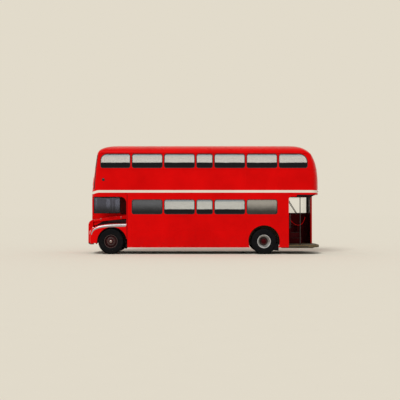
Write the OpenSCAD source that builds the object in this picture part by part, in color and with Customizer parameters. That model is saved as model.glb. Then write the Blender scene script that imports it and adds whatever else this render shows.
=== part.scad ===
/* [Body] */
// Overall length, nose to platform edge
total_l = 9200; // [9150:10:9250]
// Body width over the side panels
body_w = 2440; // [2400:10:2480]
// Height of the roof crown above the ground
body_h = 4300; // [4260:10:4340]
// Thickness of the body walls
wall_t = 45; // [35:1:55]
// Bottom edge of the side panels
skirt_z = 265; // [240:5:290]
// Joint line between the lower and the upper body
split_z = 2330; // [2320:5:2340]
// Height where the roof starts above the upper windows
cove_z = 3930; // [3920:5:3940]

/* [Windows] */
// Length of a standard window bay
bay_l = 1260; // [1240:5:1270]
// Length of the short middle bay
short_bay_l = 702; // [680:2:720]
// Front body pillar, first of the shared pillar lines
first_pillar_x = 2848; // [2830:2:2860]
// Width of the body between two windows
pillar_w = 84; // [70:2:110]
// Lower and upper edge of the lower deck windows
lower_window_z = [1576, 2126];
// Lower and upper edge of the upper deck windows
upper_window_z = [3381, 3905];
// Corner radius of the windows
window_r = 75; // [40:5:120]
// Glass thickness
glass_t = 8; // [6:1:12]

/* [Running gear] */
// Front axle position
front_axle_x = 3637; // [3620:1:3650]
// Rear axle position
rear_axle_x = -2344; // [-2360:1:-2330]
// Tyre radius, also the height of the axles
tyre_r = 500; // [490:1:505]
// Tyre width
tyre_w = 250; // [220:5:255]
// Rim radius where the tyre sits
rim_r = 255; // [250:1:260]
// Kingpin distance from the middle line
kingpin_y = 900; // [890:5:910]
// Kingpin radius
kingpin_r = 22; // [18:1:25]
// Steering arm length
steer_arm_l = 220; // [200:5:230]
// Front wheel arch radius
front_arch_r = 585; // [580:1:595]
// Rear wheel arch radius
rear_arch_r = 612; // [600:1:620]

/* [Decks] */
// Lower saloon floor
lower_floor_z = 650; // [640:5:670]
// Platform floor
platform_z = 345; // [335:5:355]
// Upper deck floor
upper_floor_z = 2430; // [2420:5:2440]
// Distance between seat rows
seat_pitch = 700; // [690:5:710]
// Width of a double seat
seat_w = 840; // [800:10:860]
// Height of a seat's back above its floor
seat_h = 1120; // [1050:10:1140]

/* [Hidden] */
$fn = 48;

corner_r = [window_r, window_r, window_r, window_r];
nose_x = total_l / 2;
half_w = body_w / 2;
inner_w = half_w - wall_t;
axle_z = tyre_r;
bus_red = [0.8, 0.03, 0.03];
maroon = [0.2, 0.03, 0.04];

// Pillar lines from front to rear
pillars = [
    first_pillar_x,
    first_pillar_x - bay_l,
    first_pillar_x - 2 * bay_l,
    first_pillar_x - 2 * bay_l - short_bay_l,
    first_pillar_x - 3 * bay_l - short_bay_l,
    first_pillar_x - 4 * bay_l - short_bay_l
];
front_corner_x = 4032;
rear_corner_x = -4034;
saloon_front_x = 2990;
lower_floor_t = 50;
saloon_rear_x = -3311;
body_rear_x = -4504;
side_front_x = 4060;
side_rear_x = -4060;

// Upper body: its front and rear at the foot, how far the front leans back, and where the roof ends level
front_face_x = 4450;
front_lean = 235;
upper_rear_x = -4550;
crown_x = [-3560, 3360];
rear_rise_z = 2406;

// Cab
cab_front_x = 4560;
cab_corner_l = 400;
cab_inner_y = -190;
cab_floor_z = 1150;
cab_t = 40;
wing_bottom_z = 420;
door_x = [3130, 3850];
door_z = [1190, 2270];
door_gap = 8;
door_front_gap = 24;
door_hinge = [3837, -1212];
hinge_r = 8;
windscreen = round_rect(-1060, -250, 1560, 2250, corner_r);
cab_inner_window = round_rect(3427, 4480, 1603, 2250, [40, 40, 40, 40]);
cab_quarter_window = round_rect(3930, 4120, 1580, 2200, [50, 50, 50, 50]);

// Bonnet and nose
bonnet_y = [-178, 575];
bonnet_front_x = 4400;
bonnet_rear_x = 3042;
// Bonnet hinge line: its Y, and its height at the rear and at the front end
bonnet_hinge_y = -170;
bonnet_hinge_z = [1566, 1394];

// Wheels
front_tyre_y = 1062;
rear_tyre_y = 1065;
rear_inner_y = 755;
spindle_r = 35;
rear_spindle_r = 45;
run_gap = 0.05;
arm_z = 385;

// ---------- outlines ----------

// Points of a superellipse quarter pair, from -y to +y, at the front or the rear end
function end_points(x, a, hw, n, s, k) = [
    for (i = [0 : k])
        let (t = -90 + 180 * i / k)
        [x + s * (a * pow(abs(cos(t)), 2 / n) - a), s * hw * sign(sin(t)) * pow(abs(sin(t)), 2 / n)]
];

// Closed plan outline of the body at one height
function plan(xf, xr, hw, af, ar, k) =
    concat(end_points(xf, af, hw, 3.6, 1, k), end_points(xr, ar, hw, 3.0, -1, k));

// Rounded rectangle with its own radius at each corner, anticlockwise from bottom left
function round_rect(x0, x1, z0, z1, r, k = 5) = [
    for (c = [0 : 3])
        let (cx = (c == 0 || c == 3) ? x0 + r[c] : x1 - r[c], cz = c < 2 ? z0 + r[c] : z1 - r[c])
        for (i = [0 : k])
            let (a = 180 + 90 * c + 90 * i / k)
            [cx + r[c] * cos(a), cz + r[c] * sin(a)]
];

// Front face of the upper body at height z, set back by d
function front_x(z, d) =
    z <= cove_z ? front_face_x - front_lean * pow(max(0, z - split_z) / (cove_z - split_z), 1.25) - d
    : crown_x[1] + (front_face_x - front_lean - d - crown_x[1])
        * pow(max(0, 1 - pow((z - cove_z) / (body_h - d - cove_z), 2.2)), 1 / 2.2);

// Rear face of the upper body at height z, set forward by d
function rear_x(z, d) =
    crown_x[0] - (crown_x[0] - upper_rear_x - d)
        * pow(max(0, 1 - pow(max(0, z - rear_rise_z) / (body_h - d - rear_rise_z), 3.4)), 1 / 1.8);

// Half width of the upper body at height z, set in by d
waist_z = 3400;
cove_in = 15;
function side_y(z, d) =
    z <= waist_z ? half_w - d
    : z <= cove_z ? half_w - d - cove_in * (z - waist_z) / (cove_z - waist_z)
    : (half_w - d - cove_in)
        * pow(max(0, 1 - pow((z - cove_z) / (body_h - d - cove_z), 2.4)), 1 / 2.4);

// How far back the front corners reach at height z, and how far forward the rear corners do
function front_depth(z, d) =
    z <= cove_z ? front_x(z, d) - side_front_x
    : front_x(cove_z, d) - side_front_x + 300 * (z - cove_z) / (body_h - cove_z);
function rear_depth(z, d) =
    z <= cove_z ? side_rear_x - rear_x(z, d)
    : side_rear_x - rear_x(cove_z, d) + 300 * (z - cove_z) / (body_h - cove_z);

function form_levels(d) = concat(
    [split_z - 5, 2900, 3200, waist_z, 3550, 3700, 3830, cove_z],
    [for (u = [0.25, 0.45, 0.62, 0.76, 0.87, 0.95, 0.99]) cove_z + (body_h - d - cove_z) * u]
);

// Upper body as one closed form, smaller by d on all sides
module upper_form(d) {
    hull()
        for (z = form_levels(d))
            translate([0, 0, z])
                linear_extrude(0.5)
                    polygon(plan(
                        front_x(z, d), rear_x(z, d), side_y(z, d),
                        front_depth(z, d), rear_depth(z, d), 16
                    ));
}

module box(x, y, z) {
    translate([x[0], y[0], z[0]]) cube([x[1] - x[0], y[1] - y[0], z[1] - z[0]]);
}

// Extrudes an outline drawn in X and Z from y0 to y1
module along_y(y0, y1) {
    translate([0, y1, 0]) rotate([90, 0, 0]) linear_extrude(y1 - y0) children();
}

// Extrudes an outline drawn in Y and Z from x0 to x1
module along_x(x0, x1) {
    translate([x0, 0, 0]) rotate([90, 0, 90]) linear_extrude(x1 - x0) children();
}

module cyl_y(x, y0, y1, z, r) {
    translate([x, y1, z]) rotate([90, 0, 0]) cylinder(r = r, h = y1 - y0);
}

module tube(a, b, r) {
    d = b - a;
    translate(a)
        rotate([0, acos(d[2] / norm(d)), atan2(d[1], d[0])])
            cylinder(r = r, h = norm(d), $fn = 24);
}

// ---------- windows ----------

// Upper side windows as rounded outlines, front to rear
function upper_windows(e) = concat(
    [round_rect(pillars[0] + pillar_w / 2 - e, front_corner_x + e, upper_window_z[0] - e,
        upper_window_z[1] + e, [window_r, window_r, 230, window_r])],
    [for (i = [0 : 4]) round_rect(pillars[i + 1] + pillar_w / 2 - e, pillars[i] - pillar_w / 2 + e,
        upper_window_z[0] - e, upper_window_z[1] + e, corner_r)],
    [round_rect(rear_corner_x - e, pillars[5] - pillar_w / 2 + e, upper_window_z[0] - e,
        upper_window_z[1] + e, [window_r, window_r, window_r, 300])]
);

function lower_windows(e) = [
    for (i = [0 : 4]) round_rect(pillars[i + 1] + pillar_w / 2 - e, pillars[i] - pillar_w / 2 + e,
        lower_window_z[0] - e, lower_window_z[1] + e, corner_r)
];

stair_window = round_rect(-4390, -3400, 1600, 2270, corner_r);

module window_holes(list) {
    for (w = list) along_y(-half_w - 50, half_w + 50) polygon(w);
}

// ---------- upper body ----------

module side_wall(s) {
    difference() {
        along_x(side_rear_x, side_front_x)
            polygon([
                [s * half_w, split_z], [s * half_w, waist_z], [s * (half_w - cove_in), cove_z],
                [s * (inner_w - cove_in), cove_z], [s * inner_w, waist_z], [s * inner_w, split_z]
            ]);
        window_holes(upper_windows(0));
    }
}

module upper_side_left() { color(bus_red) side_wall(1); }
module upper_side_right() { color(bus_red) side_wall(-1); }

front_window_y = [55, 1010];
front_window_z = [3345, 3890];

// Front window on side s of the upper deck, drawn in Y and Z
function front_window(s) = round_rect(
    s > 0 ? front_window_y[0] : -front_window_y[1],
    s > 0 ? front_window_y[1] : -front_window_y[0],
    front_window_z[0], front_window_z[1], corner_r
);

module upper_front() {
    color(bus_red)
        difference() {
            upper_form(0);
            upper_form(wall_t);
            box([-5000, side_front_x], [-2000, 2000], [2000, 5000]);
            box([0, 5000], [-2000, 2000], [cove_z, 5000]);
            box([0, 5000], [-2000, 2000], [2000, split_z]);
            along_x(4000, 4600)
                for (s = [-1, 1]) polygon(front_window(s));
        }
}

emergency_y = 520;
emergency_z = [3130, 3760];
emergency_gap = 8;

// Hinge line of the emergency window, in X and Z
window_hinge = [-4378, 3756];

module window_knuckle(y) {
    cyl_y(window_hinge[0], y, y + 70, window_hinge[1], 9);
}

module upper_rear() {
    color(bus_red)
        for (y = [-400, 250]) {
            window_knuckle(y);
            box([window_hinge[0], window_hinge[0] + 35], [y, y + 70],
                [window_hinge[1] + 1, window_hinge[1] + 9]);
        }
    color(bus_red)
        difference() {
            upper_form(0);
            upper_form(wall_t);
            box([side_rear_x, 5000], [-2000, 2000], [2000, 5000]);
            box([-5000, 0], [-2000, 2000], [cove_z, 5000]);
            box([-5000, 0], [-2000, 2000], [2000, split_z]);
            along_x(-4700, -4000)
                polygon(round_rect(-emergency_y, emergency_y, emergency_z[0], emergency_z[1], corner_r));
            tail_lamps(1);
        }
}

module roof() {
    color(bus_red)
        difference() {
            upper_form(0);
            upper_form(wall_t);
            box([-5000, 5000], [-2000, 2000], [2000, cove_z]);
        }
}

module emergency_window() {
    g = emergency_gap;
    color(bus_red)
        for (y = [-320, 330]) {
            window_knuckle(y);
            box([window_hinge[0], window_hinge[0] + 23], [y, y + 70],
                [window_hinge[1] - 16, window_hinge[1] - 6]);
            box([window_hinge[0] - 4, window_hinge[0] + 4], [y, y + 70],
                [window_hinge[1] - 16, window_hinge[1]]);
        }
    color("silver")
        difference() {
            intersection() {
                difference() {
                    upper_form(0);
                    upper_form(wall_t - 5);
                }
                along_x(-4700, -4000)
                    polygon(round_rect(-emergency_y + g, emergency_y - g,
                        emergency_z[0] + g, emergency_z[1] - g, corner_r));
            }
            along_x(-4700, -4000)
                polygon(round_rect(-emergency_y + 60, emergency_y - 60,
                    emergency_z[0] + 60, emergency_z[1] - 60, corner_r));
        }
}

stairwell_x = [-3780, -2890];
stairwell_y = [-inner_w + 5, -560];

// How far the upper floor's ends stay inside the shell
floor_set = wall_t + 12;

module upper_deck_floor() {
    color("dimgray")
        difference() {
            translate([0, 0, split_z])
                linear_extrude(upper_floor_z - split_z)
                    polygon(plan(
                        front_face_x - floor_set, upper_rear_x + floor_set, inner_w - 3,
                        front_face_x - floor_set - side_front_x, side_rear_x - upper_rear_x - floor_set, 16
                    ));
            box(stairwell_x, stairwell_y, [2000, 3000]);
        }
}

// ---------- lower body ----------

module rear_arch(y0, y1) {
    cyl_y(rear_axle_x, y0, y1, axle_z + 20, rear_arch_r);
}

module lower_side_left() {
    color(bus_red)
        difference() {
            box([saloon_rear_x, saloon_front_x], [inner_w, half_w], [skirt_z, split_z]);
            rear_arch(inner_w - 10, half_w + 10);
            window_holes(lower_windows(0));
        }
}

module lower_side_right() {
    color(bus_red)
        difference() {
            box([side_rear_x, saloon_front_x], [-half_w, -inner_w], [skirt_z, split_z]);
            rear_arch(-half_w - 10, -inner_w + 10);
            window_holes(lower_windows(0));
            along_y(-half_w - 10, 0) polygon(stair_window);
        }
}

module lower_outline(d) {
    polygon(plan(front_face_x - d, body_rear_x + d, half_w - d, 340, side_rear_x - body_rear_x - d, 16));
}

// Nearside edge of the rear wall, which closes the stair corner only
rear_wall_y = -640;

module lower_rear_wall() {
    color(maroon)
        difference() {
            translate([0, 0, skirt_z]) linear_extrude(split_z - skirt_z) lower_outline(0);
            linear_extrude(5000) lower_outline(wall_t);
            box([side_rear_x, 5000], [-2000, 2000], [0, 5000]);
            box([-5000, 5000], [rear_wall_y, 2000], [0, 5000]);
            along_y(-2000, -700) polygon(stair_window);
            tail_lamps(1);
        }
}

module wheel_box(s) {
    y0 = s > 0 ? 590 : -inner_w;
    y1 = s > 0 ? inner_w : -590;
    along_y(y0, y1)
        difference() {
            translate([rear_axle_x, axle_z + 20]) circle(r = rear_arch_r + 20);
            translate([rear_axle_x - 1000, -1000]) square([2000, 1000 + lower_floor_z - 60]);
        }
}

module wheel_hole(s) {
    y0 = s > 0 ? 610 : -inner_w - 1;
    y1 = s > 0 ? inner_w + 1 : -610;
    cyl_y(rear_axle_x, y0, y1, axle_z + 20, rear_arch_r);
}

module lower_deck_floor() {
    color("dimgray")
        difference() {
            union() {
                box([saloon_rear_x, saloon_front_x], [-inner_w, inner_w],
                    [lower_floor_z - lower_floor_t, lower_floor_z]);
                wheel_box(1);
                wheel_box(-1);
            }
            wheel_hole(1);
            wheel_hole(-1);
        }
}

module platform() {
    color([0.35, 0.3, 0.15])
        difference() {
            translate([0, 0, skirt_z])
                linear_extrude(platform_z - skirt_z)
                    polygon(plan(0, -nose_x, half_w, 340, 560, 16));
            box([saloon_rear_x, 5000], [-2000, 2000], [0, 5000]);
            difference() {
                box([-5000, saloon_rear_x + 10], [-half_w - 10, rear_wall_y], [0, 5000]);
                linear_extrude(5000) lower_outline(wall_t);
            }
        }
}

bulkhead_t = 40;

bulkhead_windows = [
    round_rect(620, 1120, lower_window_z[0], lower_window_z[1], corner_r),
    round_rect(-130, 520, 1620, lower_window_z[1], corner_r),
    round_rect(-1100, -260, 1620, lower_window_z[1], corner_r)
];
partition_window = round_rect(470, 1090, lower_window_z[0], lower_window_z[1], corner_r);

module bulkheads() {
    color(bus_red) {
        difference() {
            box([saloon_front_x, saloon_front_x + bulkhead_t], [-inner_w, half_w],
                [lower_floor_z - lower_floor_t, split_z]);
            along_x(2900, 3100)
                for (w = bulkhead_windows) polygon(w);
        }
        difference() {
            box([saloon_rear_x, saloon_rear_x + bulkhead_t], [-inner_w, inner_w], [lower_floor_z, split_z]);
            along_x(-3400, -3200) polygon([[-380, 0], [380, 0], [380, 2230], [-380, 2230]]);
            along_x(-3400, -3200) polygon(partition_window);
            box([-3400, -3200], [-inner_w - 1, -545], [1325, 3000]);
        }
        box([saloon_rear_x, saloon_rear_x + 25], [-inner_w, inner_w],
            [skirt_z, lower_floor_z - lower_floor_t]);
    }
}

// ---------- cab ----------

module cab_front_outline(d) {
    polygon(plan(cab_front_x - d, 0, half_w - d, cab_corner_l, 100, 16));
}

module cab_plan(d) {
    difference() {
        cab_front_outline(d);
        translate([-10, -2000]) square([saloon_front_x + bulkhead_t + 10, 4000]);
        translate([0, cab_inner_y - d]) square([6000, 2000]);
    }
}

// Ledge over the windscreen, where the cab reaches past the upper deck
cab_roof_t = 22;

module cab_body() {
    color(bus_red)
        difference() {
            union() {
                difference() {
                    translate([0, 0, wing_bottom_z])
                        linear_extrude(split_z - wing_bottom_z) cab_plan(0);
                    difference() {
                        translate([0, 0, cab_floor_z]) linear_extrude(2000) cab_plan(cab_t);
                        box([front_face_x - 80, 5000], [-2000, 0], [split_z - cab_roof_t, 5000]);
                    }
                    intersection() {
                        linear_extrude(cab_floor_z - 40) cab_plan(cab_t);
                        box([saloon_front_x, 4505], [-2000, -600], [0, 5000]);
                    }
                    box([3000, 4495], [-600, cab_inner_y + 1], [0, cab_floor_z - 40]);
                }
                box([saloon_front_x + bulkhead_t, saloon_front_x + bulkhead_t + 35],
                    [-inner_w + 5, cab_inner_y - 5], [cab_floor_z - 20, 1600]);
            }
            cyl_y(front_axle_x - 45, -half_w - 20, -half_w + 60, axle_z - 15, front_arch_r);
            along_x(4300, 4600) polygon(windscreen);
            translate([4300, -lamp_y, lamp_z]) rotate([0, 90, 0]) cylinder(r = lamp_r + 2, h = 300);
            along_y(cab_inner_y - 60, cab_inner_y + 10) polygon(cab_inner_window);
            along_y(-half_w - 20, -half_w + 60) polygon(cab_quarter_window);
            box([door_x[0], door_x[1]], [-half_w - 20, -half_w + 60], door_z);
        }
    color(bus_red)
        for (z = door_hinge_z) {
            translate([door_hinge[0], door_hinge[1], z + 86]) cylinder(r = hinge_r, h = 50);
            box([door_hinge[0], door_x[1] + 4], [door_hinge[1] - 3, door_hinge[1] + 3], [z + 86, z + 136]);
        }
}

door_hinge_z = [1330, 1960];

module cab_door() {
    g = door_gap;
    edge = door_x[1] - door_front_gap;
    color(bus_red) {
        difference() {
            box([door_x[0] + g, edge], [-half_w, -half_w + cab_t], [door_z[0] + g, door_z[1] - g]);
            along_y(-half_w - 20, -half_w + 60)
                polygon(round_rect(door_x[0] + 110, edge - 90, 1640, 2200, [60, 60, 60, 60]));
        }
        for (z = door_hinge_z) {
            translate([door_hinge[0], door_hinge[1], z]) cylinder(r = hinge_r, h = 80);
            box([edge - 4, door_hinge[0]], [door_hinge[1] - 3, door_hinge[1] + 3], [z, z + 80]);
        }
    }
}

wheel_at = [4020, -690, 1760];

module steering_wheel() {
    color("black") {
        translate(wheel_at)
            rotate([0, -25, 0]) {
                rotate_extrude() translate([235, 0]) circle(r = 14, $fn = 16);
                translate([0, 0, -12]) cylinder(r = 45, h = 24);
                for (a = [0, 120, 240])
                    rotate([0, 0, a]) translate([30, -12, -8]) cube([200, 24, 16]);
                translate([0, 0, -560]) cylinder(r = 28, h = 550);
            }
    }
}

module cab_seat() {
    color(maroon) {
        box([3300, 3740], [-930, -450], [1480, 1590]);
        box([3210, 3300], [-930, -450], [1480, 2080]);
        box([3380, 3640], [-820, -560], [cab_floor_z, 1480]);
    }
}

// ---------- bonnet, nose and wing ----------

// Bonnet height along X
function bonnet_z(x) = 1250 + 300 * pow(max(0, (nose_x - x) / (nose_x - bonnet_rear_x)), 0.55);

// Lower edge of the bonnet's side along X
function bonnet_low_z(x) = min(1388, 1250 + 0.245 * (bonnet_front_x - x));

// Cross-section of the bonnet, drawn in Y and Z
function bonnet_section(x, d) =
    let (top = bonnet_z(x) - d, y1 = bonnet_y[1] - d, low = bonnet_low_z(x) - 40 * sign(d), r = 62)
    concat(
        [[bonnet_y[0], low], [y1, low]],
        [for (i = [0 : 6]) [y1 - 2.4 * r * (1 - cos(15 * i)), top - r + r * sin(15 * i)]],
        [[bonnet_y[0], top]]
    );

module bonnet_form(d, x0, x1) {
    hull()
        for (i = [0 : 6])
            let (x = x0 + (x1 - x0) * i / 6)
            translate([x, 0, 0]) rotate([90, 0, 90]) linear_extrude(0.5) polygon(bonnet_section(x, d));
}

// Point on the bonnet's hinge line at distance x along the bus
function bonnet_hinge(x) = [
    x, bonnet_hinge_y,
    bonnet_hinge_z[0] + (bonnet_hinge_z[1] - bonnet_hinge_z[0]) * (x - bonnet_rear_x)
        / (bonnet_front_x - bonnet_rear_x)
];

module bonnet() {
    color(bus_red) {
        difference() {
            bonnet_form(0, bonnet_rear_x, bonnet_front_x);
            bonnet_form(22, bonnet_rear_x - 40, bonnet_front_x + 40);
        }
        for (x = [3150, 3500, 3850])
            hull() {
                tube(bonnet_hinge(x), bonnet_hinge(x + 90), hinge_r);
                box([x, x + 90], [bonnet_hinge_y - 4, bonnet_hinge_y + 4],
                    [bonnet_z(x + 90) - 14, bonnet_z(x + 90) - 6]);
            }
    }
}

grille_y = [-60, 470];
grille_z = [560, 1190];

module nose_grille() {
    color(bus_red)
        difference() {
            intersection() {
                along_y(bonnet_y[0] + 4, bonnet_y[1] + 20)
                    polygon([[bonnet_front_x + 8, wing_bottom_z], [nose_x, wing_bottom_z],
                        [nose_x, 1130], [nose_x - 12, 1200], [nose_x - 45, 1262],
                        [nose_x - 100, 1312], [bonnet_front_x + 8, 1365]]);
                along_x(4000, 5000)
                    polygon(round_rect(bonnet_y[0] + 4, bonnet_y[1] + 20, wing_bottom_z, 1372,
                        [20, 20, 110, 60]));
            }
            box([4300, nose_x - 90], [bonnet_y[0] + 40, bonnet_y[1] - 25], [0, 1200]);
            along_x(4300, 5000)
                polygon(round_rect(grille_y[0], grille_y[1], grille_z[0], grille_z[1], corner_r));
        }
    color("silver")
        for (i = [0 : 10])
            box([nose_x - 70, nose_x - 30], [grille_y[0] + 20 + i * 45, grille_y[0] + 34 + i * 45],
                [grille_z[0] - 30, grille_z[1] + 10]);
    color("silver")
        box([nose_x - 90, nose_x - 70], [grille_y[0] - 20, grille_y[1] + 20], [850, 890]);
}

// Dark louvred side of the engine bay, between the bonnet's edge and the wing
module engine_side_panel() {
    color("black")
        along_y(520, 545)
            polygon([
                [saloon_front_x + bulkhead_t + 4, 1120], [4390, 1120], [4390, 1225],
                [3830, 1372], [saloon_front_x + bulkhead_t + 4, 1372]
            ]);
}

wing_in_y = 598;

function wing_side(d, e) = [
    [4452 - d, wing_bottom_z], [4465 - d, 760], [4440 - d - e, 890 - e], [4372 - d - e, 1000 - d - e],
    [4220 - d, 1086 - d - e], [3943, 1152 - d - e], [3500, 1192 - d - e],
    [saloon_front_x + bulkhead_t + d, 1205 - d - e], [saloon_front_x + bulkhead_t + d, wing_bottom_z]
];

module wing_form(d) {
    hull() {
        along_y(wing_in_y + d, half_w - 90 - d) polygon(wing_side(d, 0));
        along_y(half_w - 20 - d, half_w - 19 - d) polygon(wing_side(d + 35, 22));
        along_y(half_w - 1 - d, half_w - d) polygon(wing_side(d + 75, 60));
    }
}

module wing_left() {
    color(bus_red)
        difference() {
            wing_form(0);
            wing_form(24);
            box([3010, 4420], [wing_in_y + 24, half_w - 60], [300, 600]);
            box([3010, 3110], [wing_in_y + 24, half_w - 30], [300, 1150]);
            box([3250, 4020], [wing_in_y - 10, wing_in_y + 40], [300, 700]);
            translate([4380, lamp_y, lamp_z]) rotate([0, 90, 0]) cylinder(r = lamp_r + 2, h = 300);
            cyl_y(front_axle_x - 45, half_w - 200, half_w + 20, axle_z - 15, front_arch_r);
            box([2900, front_axle_x], [half_w - 200, half_w + 20], [300, axle_z]);
        }
}

// ---------- canopy edges ----------

canopy_low_z = 2250;
canopy_t = 30;
platform_open_x = [-4200, saloon_rear_x];

// Edges that hang below the upper deck, over the bonnet and over the platform
module canopy_edges() {
    color(bus_red) {
        difference() {
            translate([0, 0, canopy_low_z])
                linear_extrude(split_z - canopy_low_z)
                    difference() {
                        lower_outline(4);
                        lower_outline(canopy_t + 4);
                    }
            box([-5000, saloon_front_x + bulkhead_t], [-2000, 2000], [0, 5000]);
            box([-5000, 5000], [-2000, 10], [0, 5000]);
        }
        along_y(half_w - canopy_t - 4, half_w - 4)
            fillet_xz(saloon_front_x + bulkhead_t, canopy_low_z, 1, 250);
        box(platform_open_x, [half_w - canopy_t - 4, half_w - 4], [canopy_low_z, split_z]);
        along_y(half_w - canopy_t - 4, half_w - 4)
            fillet_xz(platform_open_x[1], canopy_low_z, -1, 110);
        along_y(half_w - canopy_t - 4, half_w - 4)
            polygon([[platform_open_x[0], canopy_low_z], [platform_open_x[0], split_z],
                [platform_open_x[0] - 160, split_z]]);
    }
}

// Corner piece under a canopy: a square less a quarter circle, opening towards s
module fillet_xz(x, z, s, r) {
    polygon(concat(
        [[x, z]],
        [for (i = [0 : 8]) let (a = 90 * i / 8) [x + s * (r - r * sin(a)), z - r + r * cos(a)]]
    ));
}

// ---------- lamps, mirrors and plates ----------

lamp_r = 98;
lamp_z = 830;
lamp_y = 930;

module lamp(x, y) {
    translate([x, y, lamp_z]) rotate([0, 90, 0]) cylinder(r = lamp_r, h = 110);
}

// Tail lamps set in the rear panels, larger by d
module tail_lamps(d) {
    for (p = [[-4476, -850, 760], [-4516, -850, 2490], [-4516, 850, 2490]])
        translate(p) rotate([0, 90, 0]) cylinder(r = 45 + d, h = 70);
}

mirror = [4446, -1165];
mirror_z = [1560, 2180];

module lamps_and_mirrors() {
    color("white") {
        lamp(4390, lamp_y);
        lamp(4457, -lamp_y);
        tail_lamps(0);
    }
    color("black") {
        tube([mirror[0], mirror[1], mirror_z[0]], [mirror[0], mirror[1], mirror_z[1]], 8);
        for (z = mirror_z)
            translate([4407, mirror[1], z]) rotate([0, 90, 0]) cylinder(r = 8, h = 45);
        box([4452, 4464], [-1216, -1110], [1740, 1960]);
    }
}

blind_y = [-640, 420];
blind_z = [2700, 3010];
number_y = [480, 800];

module blank_plates() {
    color("black")
        intersection() {
            difference() {
                upper_form(-7);
                upper_form(-0.4);
            }
            union() {
                box([4200, 4600], blind_y, blind_z);
                box([4200, 4600], number_y, blind_z);
            }
        }
}

// ---------- chassis and drive ----------

rail_y = [330, 410];
rail_z = [470, 590];

tow_r = 20;
tow_z = [384, 412];
front_tow_x = 4538;
rear_tow_x = -4440;
rear_tow_z = [205, 233];

// Flat plate with an upright towing eye at its end
module tow_plate(x0, x1, eye_x, z) {
    difference() {
        union() {
            box([x0, x1], [-60, 60], z);
            translate([eye_x, 0, z[0]]) cylinder(r = 60, h = z[1] - z[0]);
        }
        translate([eye_x, 0, z[0] - 5]) cylinder(r = tow_r, h = z[1] - z[0] + 10);
    }
}

// Rail from the cab to the rear wheels, and the shallow rails that pass over the rear axle
rail_x = [-1650, 4299];
high_rail_x = [-3200, -1651];
high_rail_z = [578, 599];
front_beam_x = [4300, 4390];
drop_x = [-3200, -3120];
cross_x = [3180, 2500, 1200, 0, -1200, -1900, -3110];
outrigger_x = [2200, 900, -400, -1500];
bearer_z = [205, 258];
// Members are bolted up with this joint between them
bolt_gap = 1;

// Box with its near and far Y given for side s
module side_box(s, x, y, z) {
    box(x, s > 0 ? y : [-y[1], -y[0]], z);
}

module chassis_frame() {
    inner = rail_y[0] - bolt_gap;
    outer = rail_y[1] + bolt_gap;
    color("dimgray") {
        tow_plate(front_beam_x[0], front_tow_x, front_tow_x, tow_z);
        box(front_beam_x, [-rail_y[1], rail_y[1]], [tow_z[1] + bolt_gap, rail_z[1]]);
        tow_plate(rear_tow_x, drop_x[0] - bolt_gap, rear_tow_x, rear_tow_z);
        box(drop_x, [-440, 440], bearer_z);
        box(drop_x, [-rail_y[1], rail_y[1]], [bearer_z[1] + bolt_gap, high_rail_z[0] - bolt_gap]);
        for (s = [-1, 1]) {
            side_box(s, [-4380, drop_x[0] - bolt_gap], [380, 440], bearer_z);
            side_box(s, rail_x, rail_y, rail_z);
            side_box(s, high_rail_x, rail_y, high_rail_z);
            side_box(s, [front_axle_x - 90, front_axle_x + 90], [outer, 590],
                [spring_z[1], spring_z[1] + 30]);
            side_box(s, [front_axle_x - 90, front_axle_x + 90], [outer, outer + 25],
                [rail_z[1] - 30, spring_z[1] + 20]);
            for (x = outrigger_x)
                side_box(s, [x, x + 60], [outer, inner_w], [540, 599]);
        }
        for (x = cross_x)
            box([x, x + 80], [-inner, inner], [high_rail_z[0] - 3, high_rail_z[1]]);
    }
}

module engine() {
    color("gray") box([3060, 4250], [-90, 300], [600, 1200]);
}

module gearbox_and_propshaft() {
    color("gray") {
        box([1500, 2300], [-180, 180], [440, 570]);
        tube([1490, 0, 528], [rear_axle_x + 145, 0, axle_z - 10], 38);
    }
}

module fuel_tank() {
    color("gray") box([-1300, -300], [-1060, -520], [330, 538]);
}

spring_z = [462, 640];
axle_drop_y = 720;

module front_axle() {
    color("dimgray") {
        box([front_axle_x - 50, front_axle_x + 50], [-axle_drop_y, axle_drop_y], [400, 462]);
        for (s = [-1, 1]) {
            box([front_axle_x - 45, front_axle_x + 45],
                s > 0 ? [axle_drop_y - 60, kingpin_y - 20] : [-kingpin_y + 20, -axle_drop_y + 60],
                [442, 520]);
            translate([front_axle_x, s * kingpin_y, 440]) cylinder(r = 52, h = 120);
            translate([front_axle_x, s * kingpin_y, 395]) cylinder(r = kingpin_r, h = 210);
            translate([front_axle_x, s * 520, spring_z[0]]) cylinder(r = 58, h = spring_z[1] - spring_z[0]);
        }
    }
}

module rear_axle() {
    color("dimgray") {
        cyl_y(rear_axle_x, -600, 600, axle_z, 75);
        cyl_y(rear_axle_x, -1090, 1090, axle_z, rear_spindle_r);
        translate([rear_axle_x, 0, axle_z - 30]) sphere(r = 126);
        for (s = [-1, 1])
            box([rear_axle_x - 60, rear_axle_x + 60], s > 0 ? [460, 560] : [-560, -460], [405, 440]);
    }
}

module knuckle(s) {
    color("dimgray")
        translate([front_axle_x, s * kingpin_y, 0])
            difference() {
                union() {
                    for (z = [395, 568])
                        translate([0, 0, z]) cylinder(r = 45, h = 36);
                    box([-45, 45], s > 0 ? [60, 80] : [-80, -60], [395, 604]);
                    for (z = [395, 568])
                        box([-45, 45], s > 0 ? [0, 65] : [-65, 0], [z, z + 36]);
                    cyl_y(0, s > 0 ? 70 : -290, s > 0 ? 290 : -70, axle_z, spindle_r);
                    box([-steer_arm_l, -20], [-18, 18], [395, 415]);
                    translate([-steer_arm_l, 0, 395]) cylinder(r = 26, h = 20);
                    translate([-steer_arm_l, 0, 350]) cylinder(r = 12, h = 50);
                }
                translate([0, 0, 380]) cylinder(r = kingpin_r + run_gap, h = 240);
            }
}

module knuckle_left() { knuckle(1); }
module knuckle_right() { knuckle(-1); }

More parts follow.
